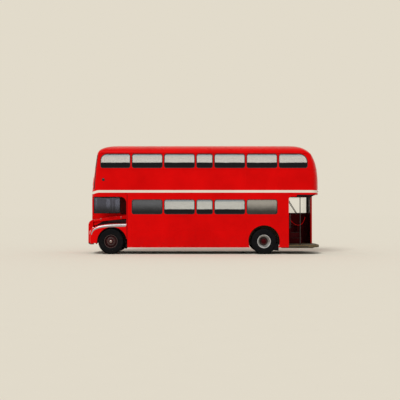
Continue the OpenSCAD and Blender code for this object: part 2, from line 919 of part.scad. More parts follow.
module track_rod() {
    x = front_axle_x - steer_arm_l;
    color("dimgray")
        difference() {
            union() {
                cyl_y(x, -kingpin_y + 20, kingpin_y - 20, 370, 16);
                for (s = [-1, 1])
                    translate([x, s * kingpin_y, 352]) cylinder(r = 28, h = 36);
            }
            translate([x, kingpin_y, 340]) cylinder(r = 12 + run_gap, h = 60);
            translate([x, -kingpin_y, 340]) cylinder(r = 14, h = 60);
        }
}

// ---------- wheels ----------

// Turns a profile drawn as radius and outward distance into a wheel piece
module wheel_turn(x, y, s) {
    translate([x, s * y, axle_z]) rotate([s > 0 ? -90 : 90, 0, 0]) rotate_extrude($fn = 96) children();
}

module tyre_profile() {
    w = tyre_w / 2;
    polygon([
        [rim_r, -w + 25], [rim_r + 40, -w + 4], [rim_r + 110, -w], [tyre_r - 35, -w + 8],
        [tyre_r - 10, -w + 28], [tyre_r, -w + 55], [tyre_r, w - 55], [tyre_r - 10, w - 28],
        [tyre_r - 35, w - 8], [rim_r + 110, w], [rim_r + 40, w - 4], [rim_r, w - 25]
    ]);
}

module rim_barrel_profile() {
    w = tyre_w / 2 - 25;
    polygon([[rim_r - 18, -w], [rim_r, -w], [rim_r, w], [rim_r - 18, w]]);
}

module front_rim(s) {
    bore = spindle_r + run_gap;
    color(maroon)
        wheel_turn(front_axle_x, front_tyre_y, s) {
            rim_barrel_profile();
            polygon([
                [bore, -70], [95, -70], [95, 40], [150, 58], [200, 20], [rim_r - 10, -10],
                [rim_r - 10, 8], [205, 38], [150, 80], [100, 72], [90, 118], [bore, 118]
            ]);
        }
}

module rear_rims(s) {
    bore = rear_spindle_r + run_gap;
    mid = (rear_tyre_y - rear_inner_y) / 2;
    inner = -2 * mid;
    color(maroon)
        wheel_turn(rear_axle_x, rear_tyre_y, s) {
            rim_barrel_profile();
            translate([0, inner]) rim_barrel_profile();
            polygon([[rim_r - 18, inner + 60], [rim_r, inner + 60], [rim_r, -60], [rim_r - 18, -60]]);
            polygon([
                [bore, inner - 90], [120, inner - 90], [120, -mid - 20], [rim_r - 10, -mid - 20],
                [rim_r - 10, -mid], [120, -mid], [112, 0], [95, 30], [bore, 34]
            ]);
        }
}

module tyre_front_left() { color("#202024") wheel_turn(front_axle_x, front_tyre_y, 1) tyre_profile(); }
module tyre_front_right() { color("#202024") wheel_turn(front_axle_x, front_tyre_y, -1) tyre_profile(); }
module rim_front_left() { front_rim(1); }
module rim_front_right() { front_rim(-1); }

module twin_tyres(s) {
    color("#202024") {
        wheel_turn(rear_axle_x, rear_tyre_y, s) tyre_profile();
        wheel_turn(rear_axle_x, rear_inner_y, s) tyre_profile();
    }
}

module tyre_rear_left() { twin_tyres(1); }
module tyre_rear_right() { twin_tyres(-1); }
module rim_rear_left() { rear_rims(1); }
module rim_rear_right() { rear_rims(-1); }

// ---------- inside ----------

step_rise = (upper_floor_z - platform_z) / 9;
step_go = 130;
flight_x = -3560;
stair_y = [-inner_w + 10, -580];
newel = [flight_x - 20, stair_y[1]];
winder_a = [180, 208, 239, 270];

function step_top(k) = platform_z + k * step_rise;

// Wedge of the turn at the foot of the stairs, drawn in plan
module winder(a0, a1) {
    intersection() {
        translate(newel)
            polygon([[0, 0], [1200 * cos(a0), 1200 * sin(a0)], [1200 * cos(a1), 1200 * sin(a1)]]);
        translate([newel[0] - 480, stair_y[0]]) square([480, stair_y[1] - stair_y[0]]);
        lower_outline(wall_t + 8);
    }
}

module staircase() {
    color(maroon) {
        for (k = [1 : 3])
            translate([0, 0, platform_z + 1])
                linear_extrude(k * step_rise - 1) winder(winder_a[k - 1], winder_a[k]);
        for (k = [4 : 8]) {
            x = flight_x + (k - 4) * step_go;
            box([x - 21, x + step_go], stair_y, [step_top(k) - 28, step_top(k)]);
            box([x - 21, x - 3], stair_y, [step_top(k - 1) - 28, step_top(k)]);
        }
        along_y(stair_y[1] - 1, stair_y[1] + 24)
            polygon([
                [flight_x - 21, platform_z + 1], [saloon_rear_x - 4, platform_z + 1],
                [saloon_rear_x - 4, 1340],
                [flight_x + 5 * step_go, 2060], [flight_x + 5 * step_go, 2328],
                [flight_x + 4 * step_go, 2328], [flight_x - 21, step_top(4) + 40]
            ]);
    }
}

rail_r = 17;
pole = [-3800, 820];

module platform_rails() {
    color("silver") {
        translate([pole[0], pole[1], platform_z]) cylinder(r = rail_r, h = split_z - platform_z);
        translate([pole[0], pole[1], platform_z]) cylinder(r = 45, h = 14);
        tube([flight_x - 300, stair_y[1] + 40, 1560], [flight_x + 90, stair_y[1] + 40, 2180], 14);
        translate([saloon_rear_x - 40, 1120, 1000]) cylinder(r = 14, h = 540);
        translate([saloon_rear_x - 40, 400, 700]) cylinder(r = 14, h = 1100);
    }
}

module seat(x, y0, y1, z) {
    box([x, x + 400], [y0, y1], [z + 330, z + 450]);
    box([x - 90, x], [y0, y1], [z + 330, z + seat_h]);
    box([x - 60, x + 330], [(y0 + y1) / 2 - 20, (y0 + y1) / 2 + 20], [z, z + 330]);
}

lower_rows = 6;
seat_side = inner_w - 10;

module lower_seats() {
    color(maroon) {
        for (i = [0 : lower_rows - 1])
            for (s = [-1, 1])
                seat(2380 - i * seat_pitch, s > 0 ? seat_side - seat_w : -seat_side,
                    s > 0 ? seat_side : -seat_side + seat_w, lower_floor_z);
        for (s = [-1, 1])
            box([-3100, -1740], s > 0 ? [690, seat_side] : [-seat_side, -690], [1170, 1270]);
    }
}

module upper_seats() {
    color(maroon)
        for (i = [0 : 10])
            for (s = [-1, 1])
                if (s > 0 || i < 9)
                    seat(3580 - i * seat_pitch, s > 0 ? seat_side - seat_w : -seat_side,
                        s > 0 ? seat_side : -seat_side + seat_w, upper_floor_z);
}

// ---------- glass ----------

module pane(list, y) {
    for (w = list) along_y(y - glass_t / 2, y + glass_t / 2) polygon(w);
}

module lower_glass() {
    y = half_w - 22;
    bulkhead_x = saloon_front_x + bulkhead_t / 2;
    color([0.7, 0.8, 0.85, 0.5]) {
        along_x(bulkhead_x, bulkhead_x + glass_t)
            for (w = bulkhead_windows) polygon(w);
        along_x(saloon_rear_x + 15, saloon_rear_x + 15 + glass_t) polygon(partition_window);
        intersection() {
            linear_extrude(3000)
                difference() {
                    lower_outline(16);
                    lower_outline(16 + glass_t);
                }
            along_y(-2000, -700) polygon(stair_window);
        }
        intersection() {
            linear_extrude(3000)
                difference() {
                    cab_front_outline(14);
                    cab_front_outline(14 + glass_t);
                }
            along_x(4100, 4600) polygon(windscreen);
        }
        along_y(cab_inner_y - 26, cab_inner_y - 26 + glass_t) polygon(cab_inner_window);
        along_y(-half_w + 14, -half_w + 14 + glass_t) polygon(cab_quarter_window);
        pane(lower_windows(0), y);
        pane(lower_windows(0), -y);
    }
}

module upper_glass() {
    y = half_w - cove_in - 15;
    color([0.7, 0.8, 0.85, 0.5]) {
        intersection() {
            difference() {
                upper_form(16);
                upper_form(16 + glass_t);
            }
            along_x(4070, 4600)
                for (s = [-1, 1]) polygon(front_window(s));
        }
        pane(upper_windows(0), y);
        pane(upper_windows(0), -y);
    }
}

chassis_frame();
engine();
gearbox_and_propshaft();
fuel_tank();
front_axle();
rear_axle();
lower_deck_floor();
platform();
lower_side_left();
lower_side_right();
lower_rear_wall();
bulkheads();
upper_deck_floor();
upper_side_left();
upper_side_right();
upper_front();
upper_rear();
roof();
cab_body();
cab_door();
steering_wheel();
cab_seat();
bonnet();
nose_grille();
engine_side_panel();
wing_left();
canopy_edges();
lamps_and_mirrors();
blank_plates();
staircase();
platform_rails();
lower_seats();
upper_seats();
lower_glass();
upper_glass();
emergency_window();
knuckle_left();
knuckle_right();
track_rod();
tyre_front_left();
rim_front_left();
tyre_front_right();
rim_front_right();
tyre_rear_left();
rim_rear_left();
tyre_rear_right();
rim_rear_right();
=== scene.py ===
import math

import bmesh
import bpy
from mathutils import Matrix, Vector
from mathutils.bvhtree import BVHTree


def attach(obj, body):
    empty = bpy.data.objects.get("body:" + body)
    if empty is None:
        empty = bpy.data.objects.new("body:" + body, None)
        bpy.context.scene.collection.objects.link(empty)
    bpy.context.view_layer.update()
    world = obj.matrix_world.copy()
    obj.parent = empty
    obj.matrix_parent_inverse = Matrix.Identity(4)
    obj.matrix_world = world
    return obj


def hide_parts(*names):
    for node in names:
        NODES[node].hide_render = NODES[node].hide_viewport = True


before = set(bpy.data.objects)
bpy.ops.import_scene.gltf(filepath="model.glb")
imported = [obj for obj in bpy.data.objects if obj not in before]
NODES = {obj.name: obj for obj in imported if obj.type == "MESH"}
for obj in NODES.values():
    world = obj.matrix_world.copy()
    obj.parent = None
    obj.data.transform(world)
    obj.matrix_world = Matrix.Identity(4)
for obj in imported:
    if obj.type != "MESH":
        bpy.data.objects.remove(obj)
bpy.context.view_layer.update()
SCENE = bpy.context.scene

# ---------- sizes shared with the CAD, in metres ----------

HALF_W, BODY_H, WALL = 1.22, 4.3, 0.045
SKIRT_Z, SPLIT_Z, WAIST_Z, COVE_Z = 0.265, 2.33, 3.4, 3.93
SIDE_FRONT_X, SIDE_REAR_X = 4.06, -4.06
BODY_REAR_X, UPPER_REAR_X, REAR_RISE_Z = -4.504, -4.55, 2.406
SALOON_FRONT_X, SALOON_REAR_X = 3.03, -3.311
PILLARS, PILLAR_W = [2.848, 1.588, 0.328, -0.374, -1.634, -2.894], 0.084
LOWER_WIN, UPPER_WIN, WIN_R = (1.576, 2.126), (3.381, 3.905), 0.075
AXLE_Z, FRONT_X, REAR_X = 0.5, 3.637, -2.344
FRONT_TYRE_Y, REAR_TYRE_Y, REAR_INNER_Y = 1.062, 1.065, 0.755
RIM_R, TYRE_R = 0.255, 0.5
LOWER_FLOOR, UPPER_FLOOR, PLATFORM_Z = 0.65, 2.43, 0.345
CAB_INNER_Y, CAB_CORNER_X, CAB_REACH = -0.19, 4.16, 0.4
NOSE_X = 4.6
CROWN_X, CROWN_FRONT = 3.36, 4.215
FRONT_POWER, REAR_POWER = 3.6, 3
SIDES = (1, -1)


def arc(t, p):
    """A superellipse's height at t, from 1 at its middle to 0 at its end."""
    return (1 - min(1, t) ** p) ** (1 / p)


def front_x(z, d=0.0):
    if z <= COVE_Z:
        return 4.45 - 0.235 * (max(0, z - SPLIT_Z) / (COVE_Z - SPLIT_Z)) ** 1.25 - d
    return CROWN_X + (CROWN_FRONT - d - CROWN_X) * arc((z - COVE_Z) / (BODY_H - d - COVE_Z), 2.2)


def rear_x(z, d=0.0):
    t = min(1, max(0, z - REAR_RISE_Z) / (BODY_H - d - REAR_RISE_Z))
    return -3.56 - (-3.56 - UPPER_REAR_X - d) * (1 - t**3.4) ** (1 / 1.8)


def side_y(z, d=0.0):
    lean = 0.015
    if z <= COVE_Z:
        return HALF_W - d - lean * max(0, z - WAIST_Z) / (COVE_Z - WAIST_Z)
    return (HALF_W - d - lean) * arc((z - COVE_Z) / (BODY_H - d - COVE_Z), 2.4)


def crown_reach(z):
    return 0.3 * max(0, z - COVE_Z) / (BODY_H - COVE_Z)


def front_depth(z, d=0.0):
    return front_x(min(z, COVE_Z), d) - SIDE_FRONT_X + crown_reach(z)


def rear_depth(z, d=0.0):
    return SIDE_REAR_X - rear_x(min(z, COVE_Z), d) + crown_reach(z)


def ease(a, b, x):
    t = min(1, max(0, (x - a) / (b - a)))
    return t * t * (3 - 2 * t)


# ---------- points on the body's surfaces ----------


def upper_side(s):
    def point(x, z):
        w = side_y(z)
        if x > SIDE_FRONT_X:
            w *= arc((x - SIDE_FRONT_X) / front_depth(z), FRONT_POWER)
        if x < SIDE_REAR_X:
            w *= arc((SIDE_REAR_X - x) / rear_depth(z), REAR_POWER)
        return Vector((x, s * w, z))

    return point


def lower_side(s):
    def point(x, z):
        bend = arc((SIDE_REAR_X - x) / (SIDE_REAR_X - BODY_REAR_X), REAR_POWER) if x < SIDE_REAR_X else 1
        return Vector((x, s * HALF_W * bend, z))

    return point


def upper_front(y, z):
    return Vector((SIDE_FRONT_X + front_depth(z) * arc(abs(y) / side_y(z), FRONT_POWER), y, z))


def upper_rear(y, z):
    return Vector((SIDE_REAR_X - rear_depth(z) * arc(abs(y) / side_y(z), REAR_POWER), y, z))


def lower_rear(y, z):
    return Vector((SIDE_REAR_X - (SIDE_REAR_X - BODY_REAR_X) * arc(abs(y) / HALF_W, REAR_POWER), y, z))


def cab_front(y, z):
    return Vector((CAB_CORNER_X + CAB_REACH * arc(abs(y) / HALF_W, FRONT_POWER), y, z))


def flat_x(x0):
    return lambda y, z: Vector((x0, y, z))


def flat_y(y0):
    return lambda x, z: Vector((x, y0, z))


def skin(point, inside=(0, 0, 2.2)):
    """A function of (u, v, d): the point d outside the surface. inside is a point on its inner side."""
    e = 0.002

    def at(u, v, d):
        p = point(u, v)
        n = (point(u + e, v) - point(u - e, v)).cross(point(u, v + e) - point(u, v - e))
        if n.length < 1e-12:
            n = Vector((0, 0, 1))
        n.normalize()
        return p + (-n if n.dot(p - Vector(inside)) < 0 else n) * d

    return at


# ---------- meshes ----------


def linked(name, verts, faces, weld=1e-6, mats=(), second=()):
    """A new object of this mesh, welded, its faces turned outwards; faces in second take the second
    material."""
    me = bpy.data.meshes.new(name)
    me.from_pydata([tuple(v) for v in verts], [], faces)
    for m in mats:
        me.materials.append(m)
    for i in second:
        me.polygons[i].material_index = 1
    bm = bmesh.new()
    bm.from_mesh(me)
    bmesh.ops.remove_doubles(bm, verts=bm.verts, dist=weld)
    if second:
        bmesh.ops.dissolve_degenerate(bm, edges=bm.edges, dist=1e-5)
    bmesh.ops.recalc_face_normals(bm, faces=bm.faces)
    bm.to_mesh(me)
    bm.free()
    o = bpy.data.objects.new(name, me)
    SCENE.collection.objects.link(o)
    return o


def shade(o, angle):
    o.data.set_sharp_from_angle(angle=math.radians(angle))
    for p in o.data.polygons:
        p.use_smooth = True


def settle(o):
    """Applies the object's modifiers to its mesh."""
    bpy.context.view_layer.update()
    done = bpy.data.meshes.new_from_object(o.evaluated_get(bpy.context.evaluated_depsgraph_get()))
    o.modifiers.clear()
    o.data = done


def cut_out(o, tools):
    for tool in tools:
        m = o.modifiers.new("cut", "BOOLEAN")
        m.solver = "EXACT"
        m.object = tool
    settle(o)
    for tool in tools:
        bpy.data.objects.remove(tool)


def circle(r, n, start=0.0):
    return [(r * math.cos(start + math.tau * k / n), r * math.sin(start + math.tau * k / n))
        for k in range(n)]


class Batch:
    """Collects many small shapes into one piece."""

    def __init__(self):
        self.verts, self.faces = [], []

    def add(self, verts, faces):
        n = len(self.verts)
        self.verts.extend(Vector(v) for v in verts)
        self.faces.extend([tuple(i + n for i in f) for f in faces])
        return self

    def join(self, other):
        return self.add(other.verts, other.faces)

    def grid(self, rows, closed_u=False, closed_v=False, caps=False):
        """Rows of points joined into a surface; closed_u joins a row's ends, closed_v the last row to the
        first."""
        n, m, k = len(self.verts), len(rows), len(rows[0])
        for r in rows:
            self.verts.extend(Vector(p) for p in r)
        for i in range(m if closed_v else m - 1):
            for j in range(k if closed_u else k - 1):
                a, b = n + i * k, n + (i + 1) % m * k
                e = (j + 1) % k
                self.faces.append((a + j, a + e, b + e, b + j))
        if caps:
            self.faces.append(tuple(n + j for j in range(k)))
            self.faces.append(tuple(n + (m - 1) * k + j for j in reversed(range(k))))
        return self

    def tube(self, path, r, sides=10, closed=False):
        """A round bar along a path of points."""
        pts = [Vector(p) for p in path]
        rows, up = [], None
        for i, p in enumerate(pts):
            if closed:
                t = pts[(i + 1) % len(pts)] - pts[i - 1]
            else:
                t = pts[min(i + 1, len(pts) - 1)] - pts[max(i - 1, 0)]
            t.normalize()
            if up is None:
                up = Vector((0, 0, 1)) if abs(t.z) < 0.9 else Vector((1, 0, 0))
            side = t.cross(up).normalized()
            up = side.cross(t).normalized()
            rows.append([p + side * a + up * b for a, b in circle(r, sides)])
        return self.grid(rows, closed_u=True, closed_v=closed, caps=not closed)

    def block(self, lo, hi, r=0.004):
        """A box with its edges broken by r."""
        lo, hi = Vector(lo), Vector(hi)
        c, h = (lo + hi) / 2, (hi - lo) / 2
        bm = bmesh.new()
        bmesh.ops.create_cube(bm, size=2)
        for v in bm.verts:
            v.co = Vector([a * b for a, b in zip(v.co, h)]) + c
        bmesh.ops.bevel(bm, geom=bm.edges, offset=min(r, *(h * 0.9)), segments=2, affect="EDGES", profile=0.5)
        bm.verts.index_update()
        self.add([v.co.copy() for v in bm.verts], [[v.index for v in f.verts] for f in bm.faces])
        bm.free()
        return self

    def turn(self, centre, axis, profile, n=48):
        """A profile of (radius, distance along the axis) turned round it."""
        axis = Vector(axis).normalized()
        a = axis.orthogonal().normalized()
        b = axis.cross(a)
        ring = circle(1, n)
        rows = [[Vector(centre) + axis * h + (a * u + b * v) * max(r, 1e-5) for u, v in ring] for r,
            h in profile]
        return self.grid(rows, closed_u=True)

    def ring(self, outline, surf, profile, closed=True):
        """Sweeps a profile of (outwards in the surface, off the surface) along an outline of (u, v)."""
        m = len(outline)
        rows = []
        for i, (u, v) in enumerate(outline):
            if closed:
                (u0, v0), (u1, v1) = outline[i - 1], outline[(i + 1) % m]
            else:
                (u0, v0), (u1, v1) = outline[max(i - 1, 0)], outline[min(i + 1, m - 1)]
            du, dv = u1 - u0, v1 - v0
            size = math.hypot(du, dv) or 1
            rows.append([surf(u + a * dv / size, v - a * du / size, d) for a, d in profile])
        return self.grid(rows, closed_u=True, closed_v=closed, caps=not closed)

    def make(self, name, mat, body="body", slot=None, angle=35, hides=None):
        """Makes the piece. mat is a material or its key in MAT; hides is the CAD node it stands for."""
        o = linked(name, self.verts, self.faces)
        shade(o, angle)
        o.data.materials.append(MAT.get(mat, mat))
        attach(o, body)
        slot = "red_paint" if mat == "red" else slot
        if hides:
            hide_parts(hides)
        return o


def round_rect(x0, x1, z0, z1, r=WIN_R, k=8):
    if not isinstance(r, (list, tuple)):
        r = [r] * 4
    out = []
    for c in range(4):
        cx = x0 + r[c] if c in (0, 3) else x1 - r[c]
        cz = z0 + r[c] if c < 2 else z1 - r[c]
        for i in range(k + 1):
            a = math.radians(180 + 90 * c + 90 * i / k)
            out.append((cx + r[c] * math.cos(a), cz + r[c] * math.sin(a)))
    return out


def spread(outline, step=0.12):
    """The outline with its long sides cut into steps, so that it follows a curved surface."""
    out = []
    for i, a in enumerate(outline):
        b = outline[(i + 1) % len(outline)]
        n = max(1, int(math.hypot(b[0] - a[0], b[1] - a[1]) / step))
        out += [(a[0] + (b[0] - a[0]) * j / n, a[1] + (b[1] - a[1]) * j / n) for j in range(n)]
    return out


def spline(points, n):
    """A smooth line through the points, n points long, evenly spread."""
    fine = []
    pts = [Vector(p) for p in points]
    for i in range(len(pts) - 1):
        p0, p1, p2, p3 = pts[max(i - 1, 0)], pts[i], pts[i + 1], pts[min(i + 2, len(pts) - 1)]
        bend, twist = 2 * p0 - 5 * p1 + 4 * p2 - p3, 3 * p1 - p0 - 3 * p2 + p3
        fine += [0.5 * (2 * p1 + (p2 - p0) * t + bend * t * t + twist * t**3) for t in [j / 20
            for j in range(20)]]
    fine.append(pts[-1])
    run = [0.0]
    for a, b in zip(fine, fine[1:]):
        run.append(run[-1] + (b - a).length)
    out, j = [], 0
    for i in range(n):
        want = run[-1] * i / (n - 1)
        while j < len(run) - 2 and run[j + 1] < want:
            j += 1
        out.append(fine[j].lerp(fine[j + 1], min(1, (want - run[j]) / max(run[j + 1] - run[j], 1e-9))))
    return out


def filled(outer, inner, loop=False):
    """A closed thin sheet between two grids. In a loop each row joins its own end, and the last row is
    capped."""
    b = Batch().grid(outer, closed_u=loop).grid(inner, closed_u=loop).grid([outer[0], inner[0]],
        closed_u=loop)
    if loop:
        k = len(outer[0])
        for n in (len(outer) * k, 2 * len(outer) * k):
            b.faces.append(tuple(n - i - 1 for i in range(k)))
        return b
    b.grid([outer[-1], inner[-1]])
    for e in (0, -1):
        b.grid([[r[e] for r in outer], [r[e] for r in inner]])
    return b


def prism(outline, lo, hi):
    """A cutter: an outline of (y, z) pushed along X."""
    n = len(outline)
    faces = [(i, (i + 1) % n, (i + 1) % n + n, i + n) for i in range(n)]
    faces += [tuple(range(n)), tuple(reversed(range(n, 2 * n)))]
    return linked("cutter", [(x, y, z) for x in (lo, hi) for y, z in outline], faces)


# ---------- materials ----------


def times(colour, k):
    return tuple(x * k for x in colour)


class Tree:
    """A material and its nodes."""

    def __init__(self, name):
        self.mat = bpy.data.materials.new(name)
        self.mat.use_nodes = True
        self.nodes, self.links = self.mat.node_tree.nodes, self.mat.node_tree.links
        self.nodes.clear()
        self.out = self.nodes.new("ShaderNodeOutputMaterial")
        self.bsdf = self.nodes.new("ShaderNodeBsdfPrincipled")
        self.links.new(self.bsdf.outputs[0], self.out.inputs["Surface"])
        self.coord = self.nodes.new("ShaderNodeTexCoord").outputs["Object"]

    def node(self, kind, **values):
        """A new node with these inputs, each a value or another node's output."""
        n = self.nodes.new("ShaderNode" + kind)
        for k, v in values.items():
            self.put(n.inputs[k.replace("_", " ")], v)
        return n

    def put(self, sock, value):
        if isinstance(value, bpy.types.NodeSocket):
            self.links.new(value, sock)
        else:
            sock.default_value = value

    def set(self, **values):
        for k, v in values.items():
            self.put(self.bsdf.inputs[k.replace("_", " ")], v)
        return self

    def noise(self, scale, detail=3, rough=0.5, stretch=None):
        c = self.coord
        if stretch:
            c = self.node("Mapping", Vector=c, Scale=stretch).outputs[0]
        return self.node("TexNoise", Vector=c, Scale=scale, Detail=detail, Roughness=rough).outputs["Fac"]

    def wave(self, scale, bands="X", distortion=0.0):
        n = self.node("TexWave", Vector=self.coord, Scale=scale, Distortion=distortion)
        n.bands_direction = bands
        return n.outputs["Fac"]

    def span(self, value, lo, hi, out_lo=0.0, out_hi=1.0, smooth=False):
        m = self.node("MapRange", Value=value, From_Min=lo, From_Max=hi, To_Min=out_lo, To_Max=out_hi)
        if smooth:
            m.interpolation_type = "SMOOTHSTEP"
        return m.outputs["Result"]

    def mix(self, fac, a, b):
        m = self.nodes.new("ShaderNodeMix")
        m.data_type = "RGBA"
        self.put(m.inputs[0], fac)
        for s, v in ((m.inputs[6], a), (m.inputs[7], b)):
            self.put(s, (*v, 1) if isinstance(v, tuple) else v)
        return m.outputs[2]

    def patches(self, noise, lo, hi, a, b, most=1.0):
        """Colour a with patches of b where the noise is high."""
        return self.mix(self.span(self.noise(*noise), lo, hi, 0, most), a, b)

    def uneven(self, noise, lo, hi):
        """A value that wanders from lo to hi."""
        return self.span(self.noise(*noise), 0.3, 0.7, lo, hi)

    def math(self, op, a, b=0.0):
        m = self.nodes.new("ShaderNodeMath")
        m.operation = op
        self.put(m.inputs[0], a)
        self.put(m.inputs[1], b)
        return m.outputs[0]

    def axis(self, i):
        return self.node("SeparateXYZ", Vector=self.coord).outputs[i]

    def less(self, value, limit):
        return self.math("LESS_THAN", value, limit)

    def within(self, i, lo=None, hi=None):
        """1 where coordinate i is over lo and under hi."""
        k = [self.math("GREATER_THAN", self.axis(i), lo)] if lo is not None else []
        return self.both(*k, *([self.less(self.axis(i), hi)] if hi is not None else []))

    def both(self, first, *more):
        for x in more:
            first = self.math("MULTIPLY", first, x)
        return first

    def bump(self, height, strength, distance=0.002):
        b = self.node("Bump", Strength=strength, Distance=distance, Height=height)
        return self.set(Normal=b.outputs["Normal"]).mat

    def see_through(self, tint):
        """Lets the lamps' light through the glass shader."""
        p = self.node("LightPath")
        pick = self.nodes.new("ShaderNodeMixShader")
        through = self.math("MAXIMUM", p.outputs["Is Shadow Ray"], p.outputs["Is Diffuse Ray"])
        see = self.node("BsdfTransparent", Color=(*tint, 1))
        for i, sock in enumerate((through, self.bsdf.outputs[0], see.outputs[0])):
            self.links.new(sock, pick.inputs[i])
        self.links.new(pick.outputs[0], self.out.inputs["Surface"])
        return self.mat

    def dusty(self, c, colour):
        """Paint c, of this colour, with road dust low down."""
        low = self.span(self.axis(2), 0.25, 0.9, 1, 0, smooth=True)
        m = self.both(low, self.span(self.noise(5, 5, 0.7, (1, 1, 2.5)), 0.4, 0.8, 0, 0.45))
        return self.mix(m, c, tuple(x * 0.45 + 0.008 for x in colour))

    def chipped(self, c, stretch=None):
        """Paint c with chips along the skirt."""
        spots = self.span(self.noise(38, 2, 0.5, stretch), 0.66, 0.7)
        return self.mix(self.both(spots, self.span(self.axis(2), 0.26, 0.33, 1, 0), 0.7), c,
            (0.42, 0.38, 0.33))


RED, MAROON, LINING = (0.69, 0.003, 0.003), (0.045, 0.004, 0.006), (0.62, 0.57, 0.46)
# On the next line the black is painted shade, the cab's dark colour is also painted shade on one wall, and
# the dark pane colour is painted shade on the window glass.
SHADE_BLACK, CAB_INSIDE_AND_SHADE, PAINTED_SHADE_PANE = (0.008, 0.008, 0.009), (0.055, 0.014, 0.014), (0.014, 0.014, 0.018)
RED_GLOSS = {"Specular_Tint": (1.0, 0.06, 0.06, 1.0), "Specular_IOR_Level": 0.2, "Coat_Weight": 0.0}
GRAIN = (160, 2)


def paint(name, colour, dark=0.82, rough=(0.24, 0.36), coat=0.25, dust=False, chips=False):
    t = Tree(name)
    c = t.patches((0.9, 3, 0.6), 0.35, 0.7, colour, times(colour, dark))
    c = t.patches((14, 4, 0.6), 0.55, 0.8, c, tuple(min(1, x * 1.12) for x in colour), 0.35)
    if dust:
        c = t.dusty(c, colour)
    if chips:
        c = t.chipped(c, (1, 1, 1.6))
    t.set(Base_Color=c, Roughness=t.uneven((3.2, 3), *rough))
    t.set(Coat_Weight=coat, Coat_Roughness=0.08, Specular_IOR_Level=0.3)
    if colour[0] > 5 * colour[1]:
        t.set(**RED_GLOSS)
    return t.bump(t.noise(*GRAIN), 0.05, 0.001)


def lined(name, inner, test):
    """Red outside and the inner paint where test(tree) is 1; on the engine side, the canopy and the cab wall
    that second colour is painted shade.
    """
    t = Tree(name)
    k = test(t)
    c = t.chipped(t.dusty(t.patches((0.9, 3, 0.6), 0.35, 0.7, RED, times(RED, 0.82)), RED))
    i = t.patches((14, 4, 0.6), 0.4, 0.75, inner, times(inner, 0.8))
    t.set(Base_Color=t.mix(k, c, i), Roughness=t.uneven((3.2, 3), 0.26, 0.38), Coat_Roughness=0.08,
        **RED_GLOSS)
    return t.bump(t.noise(*GRAIN), 0.05, 0.001)


def metal(name, colour, rough=(0.18, 0.34), stretch=None):
    t = Tree(name)
    c = t.patches((30, 4, 0.5, stretch), 0.35, 0.7, colour, times(colour, 0.78))
    t.set(Base_Color=c, Metallic=1.0, Roughness=t.uneven((18, 3), *rough))
    return t.bump(t.noise(240, 2, 0.5, stretch), 0.06, 0.001)


def dark_cast(name, colour):
    t = Tree(name)
    dirt = t.noise(6, 6, 0.65)
    brown = (colour[0] * 1.8 + 0.01, colour[1] * 1.6 + 0.008, colour[2] * 1.3 + 0.005)
    c = t.mix(t.span(dirt, 0.4, 0.72), colour, brown)
    t.set(Base_Color=c, Roughness=t.span(dirt, 0.3, 0.7, 0.5, 0.75), Specular_IOR_Level=0.35)
    return t.bump(t.noise(90, 5, 0.6), 0.25, 0.003)


def rubber(name, colour, spec=0.3, dust=0.5):
    t = Tree(name)
    c = t.patches((7, 5, 0.7), 0.45, 0.8, colour, (0.045, 0.042, 0.038), dust)
    t.set(Base_Color=c, Roughness=t.uneven((20, 3), 0.55, 0.78), Specular_IOR_Level=spec)
    return t.bump(t.noise(220, 3), 0.15, 0.002)


def clear(name, tint, rough=0.02):
    """Glass that lets lamps through."""
    t = Tree(name)
    c = t.patches((2.4, 3, 0.5), 0.4, 0.7, tint, times(tint, 0.9), 0.25)
    return t.set(Base_Color=c, Transmission_Weight=1.0, IOR=1.45, Roughness=rough).see_through(tint)


def window_glass(name, sky, top, line_z, top_z, painted_panes=()):
    """Bus glass with painted reflection and painted shade: a pale painted sky over line_z, bluish towards
    top_z, and a dark painted shade under line_z. The boxes of the last argument, each (x0, x1, y0, y1,
    colour, share of the colour left at the bottom, mirror), paint light or shade on single panes."""
    t = Tree(name)
    z = t.axis(2)
    light_mirror, dark_mirror = 0.62, 0.85
    ripple = t.both(t.math("SUBTRACT", t.noise(4, 3, 0.6), 0.5), 0.035)
    painted_sky_part = t.span(t.math("ADD", z, ripple), line_z - 0.012, line_z + 0.012)
    c = t.patches((2.6, 4, 0.7, (0.8, 0.8, 5)), 0.4, 0.7, sky, times(sky, 0.86), 0.3)
    # Painted reflection: the pane turns bluish towards its top edge.
    c = t.mix(t.span(z, top_z - 0.11, top_z - 0.01, 0, 0.75, smooth=True), c, top)
    # Painted shade under line_z, and a pale painted sky over it.
    c = t.mix(painted_sky_part, PAINTED_SHADE_PANE, c)
    m = t.math("ADD", t.both(painted_sky_part, light_mirror - dark_mirror), dark_mirror)
    # Each box paints light or shade on its panes, fading to a share of its colour under the line.
    for x0, x1, y0, y1, colour, low, mirror in painted_panes:
        k = t.both(t.within(0, x0, x1), t.within(1, y0), t.within(1, hi=y1))
        level = t.math("ADD", z, t.both(ripple, 3.0))
        high = t.span(level, line_z - 0.12, line_z + 0.26, smooth=True)
        c = t.mix(k, c, t.mix(high, times(colour, low), colour))
        m = t.math("ADD", t.both(m, t.math("SUBTRACT", 1.0, k)), t.both(k, mirror))
    t.set(Base_Color=c, Metallic=m, Transmission_Weight=1.0, IOR=1.45, Roughness=0.03)
    return t.see_through((0.85, 0.88, 0.9))


def woven(name, base, line, second):
    """Hard-wearing seat cloth with a fine weave and a plain check."""
    t = Tree(name)
    c = t.mix(t.span(t.wave(14, "Y"), 0.8, 0.9), base, second)
    c = t.mix(t.span(t.wave(60, "Z"), 0.75, 0.95, 0, 0.5), c, line)
    c = t.patches((6, 4), 0.4, 0.8, c, times(base, 0.6), 0.5)
    t.set(Base_Color=c, Roughness=0.85, Sheen_Weight=0.35, Specular_IOR_Level=0.2)
    return t.bump(t.math("ADD", t.wave(55, "X", 0.4), t.noise(260, 2)), 0.35, 0.002)


